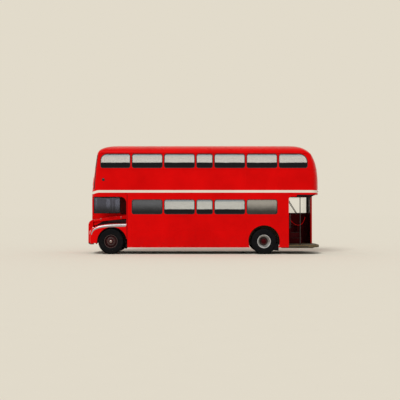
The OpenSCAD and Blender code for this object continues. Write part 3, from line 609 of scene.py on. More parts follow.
def slatted(name):
    """Wooden slats on top of the floors, and the painted ceiling under the upper one."""
    t = Tree(name)
    slat = t.wave(9, "Y")
    wood = t.patches((10, 5, 0.5, (0.3, 6, 1)), 0.3, 0.7, (0.13, 0.095, 0.045), (0.065, 0.05, 0.028))
    ceiling = t.within(2, 2.2, UPPER_FLOOR - 0.002)
    lining = t.patches((0.9, 3, 0.6), 0.35, 0.7, LINING, (0.56, 0.51, 0.41))
    slats = t.mix(t.span(slat, 0.1, 0.3), (0.02, 0.018, 0.012), wood)
    t.set(Base_Color=t.mix(ceiling, slats, lining), Roughness=0.7)
    return t.bump(t.both(slat, t.math("SUBTRACT", 1.0, ceiling)), 0.5, 0.004)


def red_lens(name):
    t = Tree(name)
    t.set(Base_Color=t.mix(t.noise(90, 1), (0.5, 0.01, 0.008), (0.32, 0.004, 0.004)), Roughness=0.12,
        Coat_Weight=0.6)
    return t.bump(t.node("TexVoronoi", Vector=t.coord, Scale=130).outputs["Distance"], 0.3, 0.002)


def wheel_paint(name, x0, rim_from, rim, centre):
    """Wheel paint: a dark centre and another rim, with brake dust."""
    t = Tree(name)
    dx, dz = t.math("SUBTRACT", t.axis(0), x0), t.math("SUBTRACT", t.axis(2), AXLE_Z)
    r = t.math("SQRT", t.math("ADD", t.both(dx, dx), t.both(dz, dz)))
    c = t.mix(t.span(r, rim_from - 0.004, rim_from + 0.004), centre, rim)
    c = t.patches((26, 5, 0.7), 0.4, 0.75, c, (0.03, 0.022, 0.018), 0.7)
    t.set(Base_Color=c, Roughness=t.uneven((18, 3), 0.3, 0.5), Coat_Weight=0.15, Specular_IOR_Level=0.4)
    return t.bump(t.noise(120, 3), 0.08, 0.001)


def nose_paint(name):
    """Red, with bright metal on the bars inside the grille's opening."""
    t = Tree(name)
    bars = t.both(t.within(0, hi=4.572), t.within(1, -0.065, 0.475), t.within(2, 0.50, 1.205))
    c = t.patches((0.9, 3), 0.35, 0.7, RED, times(RED, 0.82))
    c = t.mix(bars, c, t.mix(t.noise(60, 3), (0.55, 0.55, 0.56), (0.36, 0.36, 0.37)))
    t.set(Base_Color=c, Metallic=t.both(bars, 0.9), Roughness=t.uneven((3.2, 3), 0.24, 0.36))
    return t.set(Coat_Roughness=0.08, **RED_GLOSS).bump(t.noise(*GRAIN), 0.05, 0.001)


def inside_side(t):
    return t.less(t.math("ABSOLUTE", t.axis(1)), 1.19)


def in_curve(t, x_mid, depth, sign, power, half):
    """1 inside the rounded end whose middle is at x_mid."""
    x = t.math("MAXIMUM", t.both(t.math("SUBTRACT", t.axis(0), x_mid), sign), 0.0)
    y = t.math("DIVIDE", t.math("ABSOLUTE", t.axis(1)), half)
    x = t.math("POWER", t.math("DIVIDE", x, depth), power)
    return t.less(t.math("ADD", x, t.math("POWER", y, power)), 1.0)


def inside_rear(t):
    return in_curve(t, SIDE_REAR_X, 0.424, -1, REAR_POWER, 1.198)


def cab_inside_and_shade(t):
    room = in_curve(t, CAB_CORNER_X, CAB_REACH - 0.02, 1, FRONT_POWER, 1.2)
    cab = t.both(room, t.within(1, hi=-0.21), t.within(2, 0.9))
    # Painted shade: the nearside face of the cab's inner wall, behind its window, takes the cab's dark inside
    # colour.
    return t.math("MAXIMUM", cab, t.both(t.within(1, -0.25), t.within(0, hi=3.41), t.within(2, 1.56)))


def saloon_side(t):
    return t.within(0, hi=3.01)


# Painted shade: the engine side panel is black under a sloping line, for the shade under the bonnet's
# overhang.
def shaded_engine_side(t):
    return t.less(t.math("ADD", t.axis(0), t.both(t.axis(2), 1.7)), 6.21)


def shaded_canopy(t):
    slope = t.less(t.math("ADD", t.axis(2), t.both(t.axis(0), 0.12)), 1.885)
    return t.math("MAXIMUM", t.within(0, hi=-4.0), t.both(t.within(0, hi=-3.62), slope))


# Painted light and shade on single lower panes: a dark bluish painted reflection on the front window and the
# cab's inner window, dark painted shade on the bulkhead windows and at the rear pillar, a pale painted
# reflection over a dark band on the rearmost window, and white painted light on the offside cab windows and
# the stair window.
LOWER_PAINTED_PANES = (
    (1.60, 2.86, 1.1, 1.3, (0.20, 0.215, 0.26), 0.12, 0.6),
    (-2.90, -1.63, 1.1, 1.3, (0.56, 0.55, 0.54), 0.13, 0.65),
    (2.9, 4.6, -0.30, -0.10, (0.17, 0.18, 0.26), 0.16, 0.35),
    (2.9, 3.05, -1.2, 1.2, (0.10, 0.10, 0.12), 0.16, 0.35),
    (3.1, 4.6, -1.3, -0.30, (0.92, 0.95, 0.96), 0.16, 0.05),
    (-4.6, -4.31, -1.3, -0.6, (0.006, 0.006, 0.007), 0.16, 0.9),
    (-4.31, -3.3, -1.3, -1.1, (0.96, 0.97, 0.96), 0.97, 0.02),
)
MAT = {
    "red": paint("bus_red_paint", RED, dust=True, chips=True),
    "maroon": paint("maroon_paint", MAROON, 0.7, (0.32, 0.5), dust=True),
    "cream": paint("cream_paint", (0.76, 0.70, 0.60), 0.92),
    "lining": paint("lining_cream", LINING, 0.9, (0.45, 0.6), 0.0),
    "black": paint("black_gloss", (0.010, 0.010, 0.011), 0.7, (0.25, 0.42)),
    "hide": paint("seat_hide", (0.06, 0.008, 0.010), 0.7, (0.42, 0.6), 0.0),
    "chassis": dark_cast("chassis_black", (0.018, 0.018, 0.019)),
    "cast": dark_cast("cast_metal", (0.075, 0.074, 0.072)),
    "chrome": metal("bright_metal", (0.78, 0.78, 0.79), (0.08, 0.2)),
    "worn_alloy": metal("worn_alloy", (0.33, 0.27, 0.25), (0.35, 0.5)),
    "alloy": metal("brushed_alloy", (0.62, 0.62, 0.62), (0.28, 0.42), (1, 1, 6)),
    # The wing alloy is toned to give a painted highlight along the wing's top.
    "wing_highlight_alloy": metal("wing_highlight_alloy", (0.38, 0.355, 0.365), (0.35, 0.5), (1, 1, 6)),
    "bronze": metal("platform_bronze", (0.22, 0.14, 0.06), (0.35, 0.5)),
    "dark_rail": metal("dark_rail", (0.06, 0.052, 0.052), (0.25, 0.4)),
    "rubber": rubber("window_rubber", (0.008, 0.008, 0.009)),
    "tyre": rubber("tyre_rubber", (0.004, 0.004, 0.005), 0.06, 0.14),
    "cloth": woven("seat_cloth", (0.085, 0.010, 0.012), (0.02, 0.05, 0.02), (0.16, 0.05, 0.02)),
    # Both window glasses are painted with a pale sky reflection over a dark band of painted shade.
    "upper_glass": window_glass("upper_window_glass", (0.95, 0.965, 1.0), (0.52, 0.62, 0.78), 3.585,
        UPPER_WIN[1]),
    "lower_glass": window_glass(
        "lower_window_glass", (0.82, 0.85, 0.88), (0.32, 0.42, 0.56), 1.760, LOWER_WIN[1], LOWER_PAINTED_PANES
    ),
    "cab_glass": clear("cab_window_glass", (0.86, 0.90, 0.92)),
    "emergency_glass": clear("emergency_window_glass", (0.62, 0.66, 0.68)),
    "lens": clear("lamp_lens", (0.95, 0.95, 0.93), 0.12),
    "floor": slatted("platform_slats"),
    "red_lens": red_lens("red_lens"),
    "side": lined("side_panel_paint", LINING, inside_side),
    "low": lined("lower_panel_paint", MAROON, inside_side),
    "rear_wall": lined("rear_wall_paint", MAROON, inside_rear),
    "cab": lined("cab_paint", CAB_INSIDE_AND_SHADE, cab_inside_and_shade),
    "bulkhead": lined("bulkhead_paint", MAROON, saloon_side),
    # The black on the engine side and under the canopy is painted shade.
    "bay": lined("engine_bay_paint", SHADE_BLACK, shaded_engine_side),
    "canopy": lined("canopy_paint", SHADE_BLACK, shaded_canopy),
    "nose": nose_paint("nose_paint"),
    "front_wheel": wheel_paint("front_wheel_paint", FRONT_X, 0.236, (0.05, 0.02, 0.022),
        (0.042, 0.006, 0.008)),
    # The rear rims' light grey is partly rim paint and partly a painted reflection, the bright crescent seen
    # in the dish.
    "rear_wheel": wheel_paint("rear_wheel_paint", REAR_X, 0.172, (0.62, 0.62, 0.60), (0.05, 0.006, 0.008)),
}
CAD_MATS = {
    "low": "lower_side_left lower_side_right",
    "side": "upper_side_left upper_side_right",
    "rear_wall": "lower_rear_wall",
    "bulkhead": "bulkheads",
    "cab": "cab_body cab_door",
    "red": "bonnet emergency_window",
    "nose": "nose_grille",
    "canopy": "canopy_edges",
    "bay": "engine_side_panel",
    "chassis": "chassis_frame fuel_tank front_axle rear_axle",
    "cast": "engine gearbox_and_propshaft knuckle_left knuckle_right track_rod",
    "floor": "lower_deck_floor upper_deck_floor platform",
    "black": "steering_wheel blank_plates",
    "maroon": "staircase",
    "dark_rail": "platform_rails",
    "lower_glass": "lower_glass",
    "upper_glass": "upper_glass",
    "front_wheel": "rim_front_left rim_front_right",
    "rear_wheel": "rim_rear_left rim_rear_right",
}
for key, names in CAD_MATS.items():
    for name in names.split():
        NODES[name].data.materials.clear()
        NODES[name].data.materials.append(MAT[key])


def smooth_cad(name, angle):
    """Lets a CAD node's curved faces shade as curves."""
    o = NODES[name]
    me = o.data
    if "custom_normal" in me.attributes:
        me.attributes.remove(me.attributes["custom_normal"])
    me.polygons.foreach_set("use_smooth", [True] * len(me.polygons))
    o.modifiers.new("weld", "WELD").merge_threshold = 1e-4
    o.modifiers.new("edges", "EDGE_SPLIT").split_angle = math.radians(angle)


for name in NODES:
    if name not in ("lower_seats", "upper_seats", "roof", "upper_front", "upper_rear"):
        smooth_cad(name, 38 if name in ("bonnet", "nose_grille") else 30)

# ---------- upper shell: roof, front and rear ----------


def plan_loop(z, d, ends="both", k=44):
    """Outline of the upper body at height z, set in by d, or only its front or rear part."""
    out = []
    w = side_y(z, d)
    for end, tip, a, s, power in (
        ("front", front_x(z, d), front_depth(z, d), 1, FRONT_POWER),
        ("rear", rear_x(z, d), rear_depth(z, d), -1, REAR_POWER),
    ):
        for i in range(k + 1 if ends in ("both", end) else 0):
            t = math.radians(-90 + 180 * i / k)
            c, y = abs(math.cos(t)) ** (2 / power), abs(math.sin(t)) ** (2 / power)
            out.append(Vector((tip + s * (a * c - a), s * math.copysign(w * y, t), z)))
    return out


def shell(name, node, rows, loop=False, cut=()):
    """A wall, red outside and lined inside, from rows(set in), with holes cut by prisms."""
    outer, inner = rows(0), rows(WALL)
    b = filled(outer, inner, loop)
    n = (len(outer) - 1) * (len(outer[0]) - (0 if loop else 1))
    second = list(range(n, 2 * n)) + ([len(b.faces) - 1] if loop else [])
    o = linked(name, b.verts, b.faces, 2e-5, (MAT["red"], MAT["lining"]), second)
    if cut:
        cut_out(o, cut)
    shade(o, 35)
    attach(o, "body")
    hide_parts(node)


def disc(y, z, r, n=24):
    return [(y + a, z + b) for a, b in circle(r, n)]


CROWN = [0, 0.03, 0.09, 0.17, 0.26, 0.36, 0.46, 0.56, 0.65, 0.73, 0.8, 0.86, 0.91, 0.95, 0.98, 0.995, 0.9995]
LEVELS = [SPLIT_Z + (COVE_Z - SPLIT_Z) * i / 18 for i in range(19)]
FRONT_WINDOW = {s: round_rect(*sorted((s * 0.055, s * 1.010)), 3.345, 3.890) for s in (-1, 1)}
EMERGENCY = round_rect(-0.520, 0.520, 3.130, 3.760)
STAIR_WINDOW = round_rect(-4.390, -3.400, 1.600, 2.270)
TAIL_LAMPS = [(-0.85, 0.76), (-0.85, 2.49), (0.85, 2.49)]

shell("roof_panels", "roof", lambda d: [plan_loop(COVE_Z + (BODY_H - d - COVE_Z) * u, d) for u in CROWN],
    loop=True)
holes = [prism(FRONT_WINDOW[s], 4.08, 4.6) for s in (-1, 1)]
shell("upper_front_panel", "upper_front", lambda d: [plan_loop(z, d, "front") for z in LEVELS], cut=holes)
holes = [prism(EMERGENCY, -4.7, -4.07)] + [prism(disc(y, z, 0.046), -4.7, -4.2) for y, z in TAIL_LAMPS[1:]]
shell("upper_rear_panel", "upper_rear", lambda d: [plan_loop(z, d, "rear") for z in LEVELS], cut=holes)

# ---------- bands, beads and gutters ----------


def body_path(z):
    """The outline of the upper body at height z, with its long sides cut into steps."""
    out = []
    loop = plan_loop(z, 0, "both", 40)
    for i, a in enumerate(loop):
        b = loop[(i + 1) % len(loop)]
        n = max(1, int((b - a).length / 0.25))
        out += [a.lerp(b, j / n) for j in range(n)]
    return out


def no_dip(x):
    return 0.0


def front_dip(x):
    return -0.062 * ease(4.10, 4.40, x)


def dipped(p, z, dip):
    """Point p of the outline at height z, moved by dip(x) and kept on the body."""
    low = z + dip(p.x)
    q = Vector((p.x, p.y, low))
    if abs(low - z) > 1e-6:
        q.x = SIDE_FRONT_X + (p.x - SIDE_FRONT_X) * front_depth(low) / front_depth(z)
    return q


def outward(p):
    """The level direction out of the upper body at point p on its surface."""
    w, s = side_y(p.z), math.copysign(1, p.y)
    for u, depth, power, way in (
        (p.x - SIDE_FRONT_X, front_depth(p.z), FRONT_POWER - 1, 1),
        (SIDE_REAR_X - p.x, rear_depth(p.z), REAR_POWER - 1, -1),
    ):
        if u > 0:
            return Vector((way * (u / depth) ** power / depth, s * abs(p.y / w) ** power / w, 0)).normalized()
    return Vector((0, s, 0))


def bead(batch, z, height, proud, dip=no_dip, keep=lambda p: True, n=6):
    """A half-round moulding round the upper body at height z."""
    path = body_path(z)
    gap = [i for i, p in enumerate(path) if not keep(p)]
    if gap:
        path = path[gap[-1] + 1 :] + path[: gap[0]]
    rows = []
    for p in path:
        q = dipped(p, z, dip)
        o = outward(q)
        turns = [math.pi * i / n for i in range(n + 1)]
        rows.append([q + Vector((0, 0, -math.cos(a) * height / 2)) + o * (math.sin(a) * proud - 0.0005)
            for a in turns])
    batch.grid(rows, closed_v=not gap, closed_u=True, caps=bool(gap))


BAND_Z, BAND_TOP, BAND_OFF, TUCK = 2.405, 2.505, 0.003, 0.0005
lines = [(BAND_Z + (BAND_TOP - BAND_Z) * i / 4, BAND_OFF) for i in range(5)]
rows = []
for z, off in [(BAND_Z, TUCK)] + lines + [(BAND_TOP, TUCK)]:
    ring = [dipped(p, z, front_dip) for p in body_path(z)]
    rows.append([q + outward(q) * off for q in ring])
Batch().grid(rows, closed_u=True).make("cream_band", "cream")
beads = Batch()
bead(beads, 2.399, 0.016, 0.009, front_dip)
bead(beads, 2.511, 0.016, 0.009, front_dip)
bead(beads, 3.335, 0.018, 0.010, keep=lambda p: p.x > SIDE_REAR_X or abs(p.y) > 0.56)
beads.make("body_mouldings", "red")

GUTTER = [(-0.010, -0.001), (-0.010, 0.016), (0.004, 0.020), (0.010, 0.012), (0.010, -0.001)]
gutter = Batch()
for s in SIDES:
    gutter.ring([(4.0 - 0.2 * i, 3.957) for i in range(41)], skin(upper_side(s)), GUTTER, closed=False)
gutter.make("roof_gutters", "red")


def strip(batch, surf, u0, u1, v0, v1, proud=0.003, step=0.3, edge=0.004):
    """A raised strip on a surface from (u0, v0) to (u1, v1), with softened edges."""

    def stations(a, b):
        n = max(1, int((b - a) / step))
        return [a] + [a + edge + (b - a - 2 * edge) * i / n for i in range(n + 1)] + [b]

    us, vs = stations(u0, u1), stations(v0, v1)
    rim = (u0, u1, v0, v1)
    batch.grid([[surf(u, v, -0.001 if u in rim[:2] or v in rim[2:] else proud) for v in vs] for u in us])


def over_wheel(x):
    return abs(x - REAR_X) < 0.7


seams = Batch()
for s in SIDES:
    low, up = skin(lower_side(s)), skin(upper_side(s))
    for x in PILLARS:
        strip(seams, up, x - 0.014, x + 0.014, 2.530, 3.320, 0.0025)
        strip(seams, low, x - 0.014, x + 0.014, 1.12 if over_wheel(x) else SKIRT_Z + 0.03, 1.455, 0.0025)
    x0, x1 = SALOON_REAR_X + 0.01 if s > 0 else -4.04, SALOON_FRONT_X - 0.045
    strip(seams, low, x0, x1, 1.462, 1.478, 0.004)
    strip(seams, low, x0, x1, 2.296, 2.312, 0.004)
    strip(seams, low, -1.72, x1, 0.925, 0.937, 0.003)
    for a, b in ((-1.72, x1), (x0, -2.97)):
        strip(seams, low, a, b, SKIRT_Z + 0.004, SKIRT_Z + 0.026, 0.004)
seams.make("panel_cover_strips", "red")

RIVET_R, RIVET_PITCH = 0.0055, 0.09
rivets = Batch()
for s in SIDES:
    low, up = skin(lower_side(s)), skin(upper_side(s))
    for x in PILLARS:
        for u in (x - 0.026, x + 0.026):
            for surf, z, top in ((up, 2.56, 3.3), (low, 1.14 if over_wheel(x) else 0.33, 1.44)):
                while z < top:
                    c = surf(u, z, 0)
                    profile = [(RIVET_R, -0.0005), (RIVET_R * 0.8, 0.0022), (0, 0.0032)]
                    rivets.turn(c, surf(u, z, 0.01) - c, profile, n=6)
                    z += RIVET_PITCH
rivets.make("panel_rivets", "red")

# ---------- window rubbers ----------

RUBBER = [(-0.010, -0.020), (-0.011, 0.002), (-0.006, 0.006), (0.004, 0.007), (0.013, 0.005), (0.017, -0.001),
    (0.006, -0.010)]
BAYS = [(b + PILLAR_W / 2, a - PILLAR_W / 2) for a, b in zip(PILLARS, PILLARS[1:])]
LOWER_WINDOWS = [round_rect(*bay, *LOWER_WIN) for bay in BAYS]
UPPER_WINDOWS = [
    round_rect(PILLARS[0] + PILLAR_W / 2, 4.032, *UPPER_WIN, [WIN_R, WIN_R, 0.230, WIN_R]),
    *[round_rect(*bay, *UPPER_WIN) for bay in BAYS],
    round_rect(-4.034, PILLARS[5] - PILLAR_W / 2, *UPPER_WIN, [WIN_R, WIN_R, WIN_R, 0.300]),
]
BULKHEAD_WINDOWS = [round_rect(0.620, 1.120, *LOWER_WIN), round_rect(-0.130, 0.520, 1.620, LOWER_WIN[1])]
OFFSIDE = skin(flat_y(-HALF_W), (4, 0, 2))

rubbers = Batch()
for s in SIDES:
    for w in LOWER_WINDOWS:
        rubbers.ring(w, skin(lower_side(s)), RUBBER)
    for w in UPPER_WINDOWS:
        rubbers.ring(w, skin(upper_side(s)), RUBBER)
    rubbers.ring(spread(FRONT_WINDOW[s]), skin(upper_front), RUBBER)
rubbers.ring(spread(STAIR_WINDOW, 0.05), skin(lower_side(-1)), RUBBER)
rubbers.ring(spread(round_rect(-1.060, -0.250, 1.560, 2.250)), skin(cab_front), RUBBER)
rubbers.ring(round_rect(3.427, 4.480, 1.603, 2.250, 0.040), skin(flat_y(CAB_INNER_Y), (4, -1, 2)), RUBBER)
rubbers.ring(round_rect(3.930, 4.120, 1.580, 2.200, 0.050), OFFSIDE, RUBBER)
for w in BULKHEAD_WINDOWS:
    rubbers.ring(w, skin(flat_x(SALOON_FRONT_X), (0, 0, 2)), RUBBER)
rubbers.make("window_rubbers", "rubber")
corners = Batch()
for s in SIDES:
    y0, y1 = sorted((s * 1.120, s * 1.168))
    for z0, z1 in ((2.535, 3.318), (3.352, 3.900)):
        strip(corners, skin(upper_front), y0, y1, z0, z1, 0.006, 0.03)
    for w in UPPER_WINDOWS:
        xs = [x for x, z in w if z > 3.89]
        strip(corners, skin(upper_side(s)), min(xs) + 0.01, max(xs) - 0.01, 3.912, 3.932, 0.006, 0.2)
corners.make("corner_and_window_seals", "rubber")

# ---------- wheels ----------

TREAD = [-0.070, -0.052, -0.0515, -0.043, -0.0425, -0.006, -0.0055, 0.0055, 0.006, 0.0425, 0.043, 0.0515,
    0.052, 0.070]
SIDEWALL = [
    (RIM_R, 0.098), (0.272, 0.110), (0.284, 0.119), (0.290, 0.1225), (0.296, 0.1185), (0.330, 0.1235),
    (0.365, 0.125), (0.412, 0.1245), (0.415, 0.1262), (0.434, 0.1262), (0.437, 0.1225), (0.465, 0.117),
    (0.482, 0.107), (0.490, 0.097),
]
GROOVE, SIPE, SHOULDER = 0.010, 0.009, 0.007


def tyre(name, x, ys, s, body, node, n=180):
    b = Batch()
    for y in ys:
        rows = []
        for k in range(n):
            a = math.tau * k / n
            lug = k % 5 == 0
            side = [(r - (SHOULDER if lug and r > 0.48 else 0), h) for r, h in SIDEWALL]
            pts = [(r if h <= 0.09 else r2, h) for (r, h), (r2, _) in zip(SIDEWALL, side)]
            for h in reversed(TREAD):
                r = TYRE_R
                if 0.043 <= abs(h) <= 0.0516 or abs(h) <= 0.0056:
                    r -= GROOVE
                if lug and abs(h) > 0.0519:
                    r -= SIPE
                pts.append((r, h))
            pts += [(r, -h) for r, h in reversed(side)]
            rows.append([(x + math.cos(a) * r, s * y + s * h, AXLE_Z + math.sin(a) * r) for r, h in pts])
        b.grid(rows, closed_u=True, closed_v=True)
    b.make(name, "tyre", body, "tyre", 28, node)


HANDS = ((1, "left"), (-1, "right"))
for s, side in HANDS:
    tyre(f"front_tyre_{side}", FRONT_X, [FRONT_TYRE_Y], s, f"wheel_front_{side}", f"tyre_front_{side}")
    tyre(f"rear_tyres_{side}", REAR_X, [REAR_TYRE_Y, REAR_INNER_Y], s, f"wheel_rear_{side}",
        f"tyre_rear_{side}")

FRONT_CAP = [(0.050, 0.112), (0.054, 0.121), (0.052, 0.130), (0.040, 0.138), (0.020, 0.142), (0, 0.1425)]
FLANGE = [(0.088, 0.106), (0.0905, 0.116), (0.084, 0.120), (0.056, 0.121), (0.050, 0.118)]
REAR_CAP = [(0.100, 0.020), (0.098, 0.038), (0.080, 0.042), (0.064, 0.044), (0.060, 0.072), (0.045, 0.079),
    (0, 0.082)]
RIM_LIP = [(0.2545, 0.094), (0.2545, 0.104), (0.2575, 0.110), (0.2615, 0.109), (0.262, 0.104),
    (0.2565, 0.098)]
for s, side in HANDS:
    for end, x0, y0, nut_r, nut_h in (("front", FRONT_X, FRONT_TYRE_Y, 0.126, 0.070),
            ("rear", REAR_X, REAR_TYRE_Y, 0.158, -0.157)):
        body = f"wheel_{end}_{side}"
        axis, c = Vector((0, s, 0)), Vector((x0, s * y0, AXLE_Z))
        nuts = Batch()
        for u, v in circle(nut_r, 10, math.tau / 20):
            p = c + axis * nut_h + Vector((u, 0, v))
            nuts.turn(p, axis, [(0.019, -0.004), (0.019, 0.004)], n=16)
            nuts.turn(p, axis, [(0.015, 0.002), (0.015, 0.020), (0.012, 0.022)], n=6)
            nuts.turn(p, axis, [(0.009, 0.020), (0.009, 0.032), (0, 0.034)], n=10)
        nuts.make(f"wheel_nuts_{end}_{side}", "cast", body)
        cap = Batch()
        if end == "front":
            cap.turn(c, axis, FRONT_CAP, n=40)
            Batch().turn(c, axis, FLANGE, n=40).make(f"hub_flange_{side}", "maroon", body)
        else:
            cap.turn(c, axis, REAR_CAP, n=40)
            for u, v in circle(0.082, 8):
                cap.turn(c + axis * 0.040 + Vector((u, 0, v)), axis,
                    [(0.008, -0.002), (0.008, 0.008), (0, 0.010)], n=6)
        cap.make(f"hub_cap_{end}_{side}", "worn_alloy" if end == "front" else "maroon", body)
        Batch().turn(c, axis, RIM_LIP, n=72).make(f"rim_edge_{end}_{side}", f"{end}_wheel", body)

# ---------- nearside wing ----------

ARCH_X, ARCH_Z, ARCH_R = FRONT_X - 0.045, AXLE_Z - 0.015, 0.585
ARCH = Vector((ARCH_X, ARCH_Z))
WING_IN, WING_ROUND, WING_T, WING_LOW = 0.600, 0.085, 0.004, 0.42
CREST = spline(
    [(4.452, 0.422), (4.466, 0.60), (4.465, 0.76), (4.438, 0.895), (4.368, 1.004), (4.220, 1.090),
        (3.943, 1.157),
     (3.500, 1.195), (3.034, 1.206)], 56)


def wing_rows(inset):
    rows = []
    top_y, round_r = HALF_W - WING_ROUND, WING_ROUND - inset
    for i, p in enumerate(CREST):
        t = (CREST[min(i + 1, len(CREST) - 1)] - CREST[max(i - 1, 0)]).normalized()
        n = Vector((-t.y, t.x))
        if n.dot(ARCH - p) < 0:
            n = -n
        base = p + n * inset
        droop = ease(4.05, 4.4, p.x) * 0.015
        row = [(base.x, WING_IN + (top_y - WING_IN) * j / 3, base.y) for j in range(4)]
        for j in range(1, 10):
            u = math.radians(90 * j / 9)
            q = base + n * round_r * (1 - math.cos(u))
            row.append((q.x, top_y + round_r * math.sin(u), q.y - droop * (j / 9)))
        q = base + n * round_r
        edge = ARCH + (q - ARCH).normalized() * (ARCH_R + 0.002)
        for j in range(1, 4):
            r = q.lerp(edge, j / 3)
            row.append((r.x, HALF_W - inset, max(r.y, WING_LOW)))
        rows.append(row)
    return rows


def moved_y(rows, dy):
    return [[(x, y + dy, z) for x, y, z in row] for row in rows]


def arch(r, start, stop, n, cx=ARCH_X, cz=ARCH_Z):
    angles = [start + (stop - start) * i / n for i in range(n + 1)]
    return [(cx + r * math.cos(a), cz + r * math.sin(a)) for a in angles]


LAMP_HOLE = disc(0.93, 0.83, 0.0985, 40)
wing = filled(wing_rows(0), wing_rows(WING_T)).make("nearside_wing", "red", angle=50)
cut_out(wing, [prism(LAMP_HOLE, 4.3, 4.6)])
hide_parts("wing_left")

corner = ARCH + (Vector((3.036, 1.11)) - ARCH).normalized() * ARCH_R
rear_foot = math.pi - math.asin((0.66 - ARCH_Z) / ARCH_R)
arc_pts = arch(ARCH_R, math.atan2(corner.y - ARCH_Z, corner.x - ARCH_X), rear_foot, 8)
y = HALF_W - 0.0005
outer = [[(3.036, y, 1.12 + (0.655 - 1.12) * i / 8), (x, y, z)] for i, (x, z) in enumerate(arc_pts)]
filled(outer, moved_y(outer, -WING_T)).make("wing_rear_panel", "red")
inside = []
for p in CREST:
    top = (p.x - 0.01 if p.x > 4.3 else p.x, WING_IN, p.y - 0.006)
    inside.append([top, (min(p.x, 4.44), WING_IN, 0.70 if 3.2 < p.x < 4.1 else 0.43)])
filled(inside, moved_y(inside, WING_T)).make("wing_inner_panel", "chassis", slot="chassis_paint")

trim = Batch()
lip = arch(ARCH_R + 0.004, -math.asin((ARCH_Z - 0.425) / ARCH_R), rear_foot, 48)
trim.tube([(x, HALF_W - 0.005, z) for x, z in lip], 0.008, 8)
REAR_ARCH_R, REAR_ARCH_Z = 0.616, AXLE_Z + 0.02
start = math.asin((SKIRT_Z + 0.005 - REAR_ARCH_Z) / REAR_ARCH_R)
for s in SIDES:
    lip = arch(REAR_ARCH_R, start, math.pi - start, 60, REAR_X, REAR_ARCH_Z)
    trim.tube([(x, s * (HALF_W - 0.002), z) for x, z in lip], 0.007, 8)
trim.make("wheel_arch_edges", "red")

# A bright alloy moulding on the wing's rounded top; widened down the side at the rear and narrowed to the
# front, it also gives a painted highlight of the sky along the wing.
rows = []
for i, row in enumerate(wing_rows(-0.0022)[10:]):
    k = 1 - i / (len(CREST) - 11)
    path = [Vector(p) for p in row[4 + round(6.5 * k) : 13]]
    path.append(path[-1] + (Vector(row[13]) - path[-1]).normalized() * 0.06 * (1 - k) ** 0.7)
    rows.append([path[min(len(path) - 1, round((len(path) - 1) * j / 8))] for j in range(9)])
Batch().grid(rows).make("wing_top_highlight_moulding", "wing_highlight_alloy")
Batch().tube([(p.x, WING_IN - 0.004, p.y + 0.004) for p in CREST[8:]], 0.007, 8).make("wing_joint_beading",
    "rubber")

# ---------- nose, grille and bonnet fittings ----------

BORDER = [(-0.014, -0.022), (-0.016, 0.000), (-0.006, 0.006), (0.012, 0.006), (0.020, 0.000), (0.020, -0.004)]
grille = Batch().ring(round_rect(-0.060, 0.470, 0.560, 1.190), skin(flat_x(NOSE_X - 0.006), (0, 0, 1)),
    BORDER)
for i in range(10):
    bar = ((0.022, 0.552), (0.016, 0.62), (0.016, 1.13), (0.022, 1.198))
    grille.tube([(NOSE_X - d, -0.028 + 0.0452 * i, z) for d, z in bar], 0.0045, 8)
grille.make("grille_surround", "chrome")
mesh = Batch()
for z in [0.566 + 0.012 * i for i in range(52)]:
    mesh.tube([(NOSE_X - 0.034, y, z) for y in (-0.058, 0.468)], 0.0016, 5)
for y in [-0.055 + 0.0158 * i for i in range(34)]:
    mesh.tube([(NOSE_X - 0.036, y, z) for z in (0.562, 1.188)], 0.0016, 5)
mesh.make("grille_mesh", "black")
profile = [(0.038, 0.0), (0.038, 0.020), (0.030, 0.026), (0.012, 0.030), (0, 0.031)]
Batch().turn((4.47, 0.20, 1.325), (0.45, 0, 0.9), profile, n=28).make("radiator_cap", "chrome")


def bonnet_low(x):
    return min(1.388, 1.250 + 0.245 * (4.400 - x))


catches = Batch()
for x in (3.30, 4.10):
    z, y = bonnet_low(x) + 0.05, 0.575
    catches.block((x - 0.016, y - 0.001, z - 0.030), (x + 0.016, y + 0.010, z + 0.030))
    catches.tube([(x, y + 0.012, z + 0.02), (x, y + 0.024, z), (x, y + 0.016, z - 0.055)], 0.006, 8)
catches.make("bonnet_catches", "worn_alloy", "bonnet")
z = bonnet_low(3.70) + 0.055
grip = [(x, y, z) for x, y in ((3.60, 0.574), (3.605, 0.600), (3.70, 0.610), (3.795, 0.600), (3.80, 0.574))]
Batch().tube(spline(grip, 17), 0.008, 8).make("bonnet_handle", "red", "bonnet")
louvres = Batch()
for x in [3.12 + 0.045 * i for i in range(16)]:
    top, bottom = min(bonnet_low(x) - 0.045, 1.335), 1.225
    if top - bottom > 0.03:
        louvres.block((x - 0.010, 0.543, bottom), (x + 0.010, 0.552, top))
louvres.make("engine_bay_louvres", "black")

# ---------- lamps, mirror, wiper, plates ----------

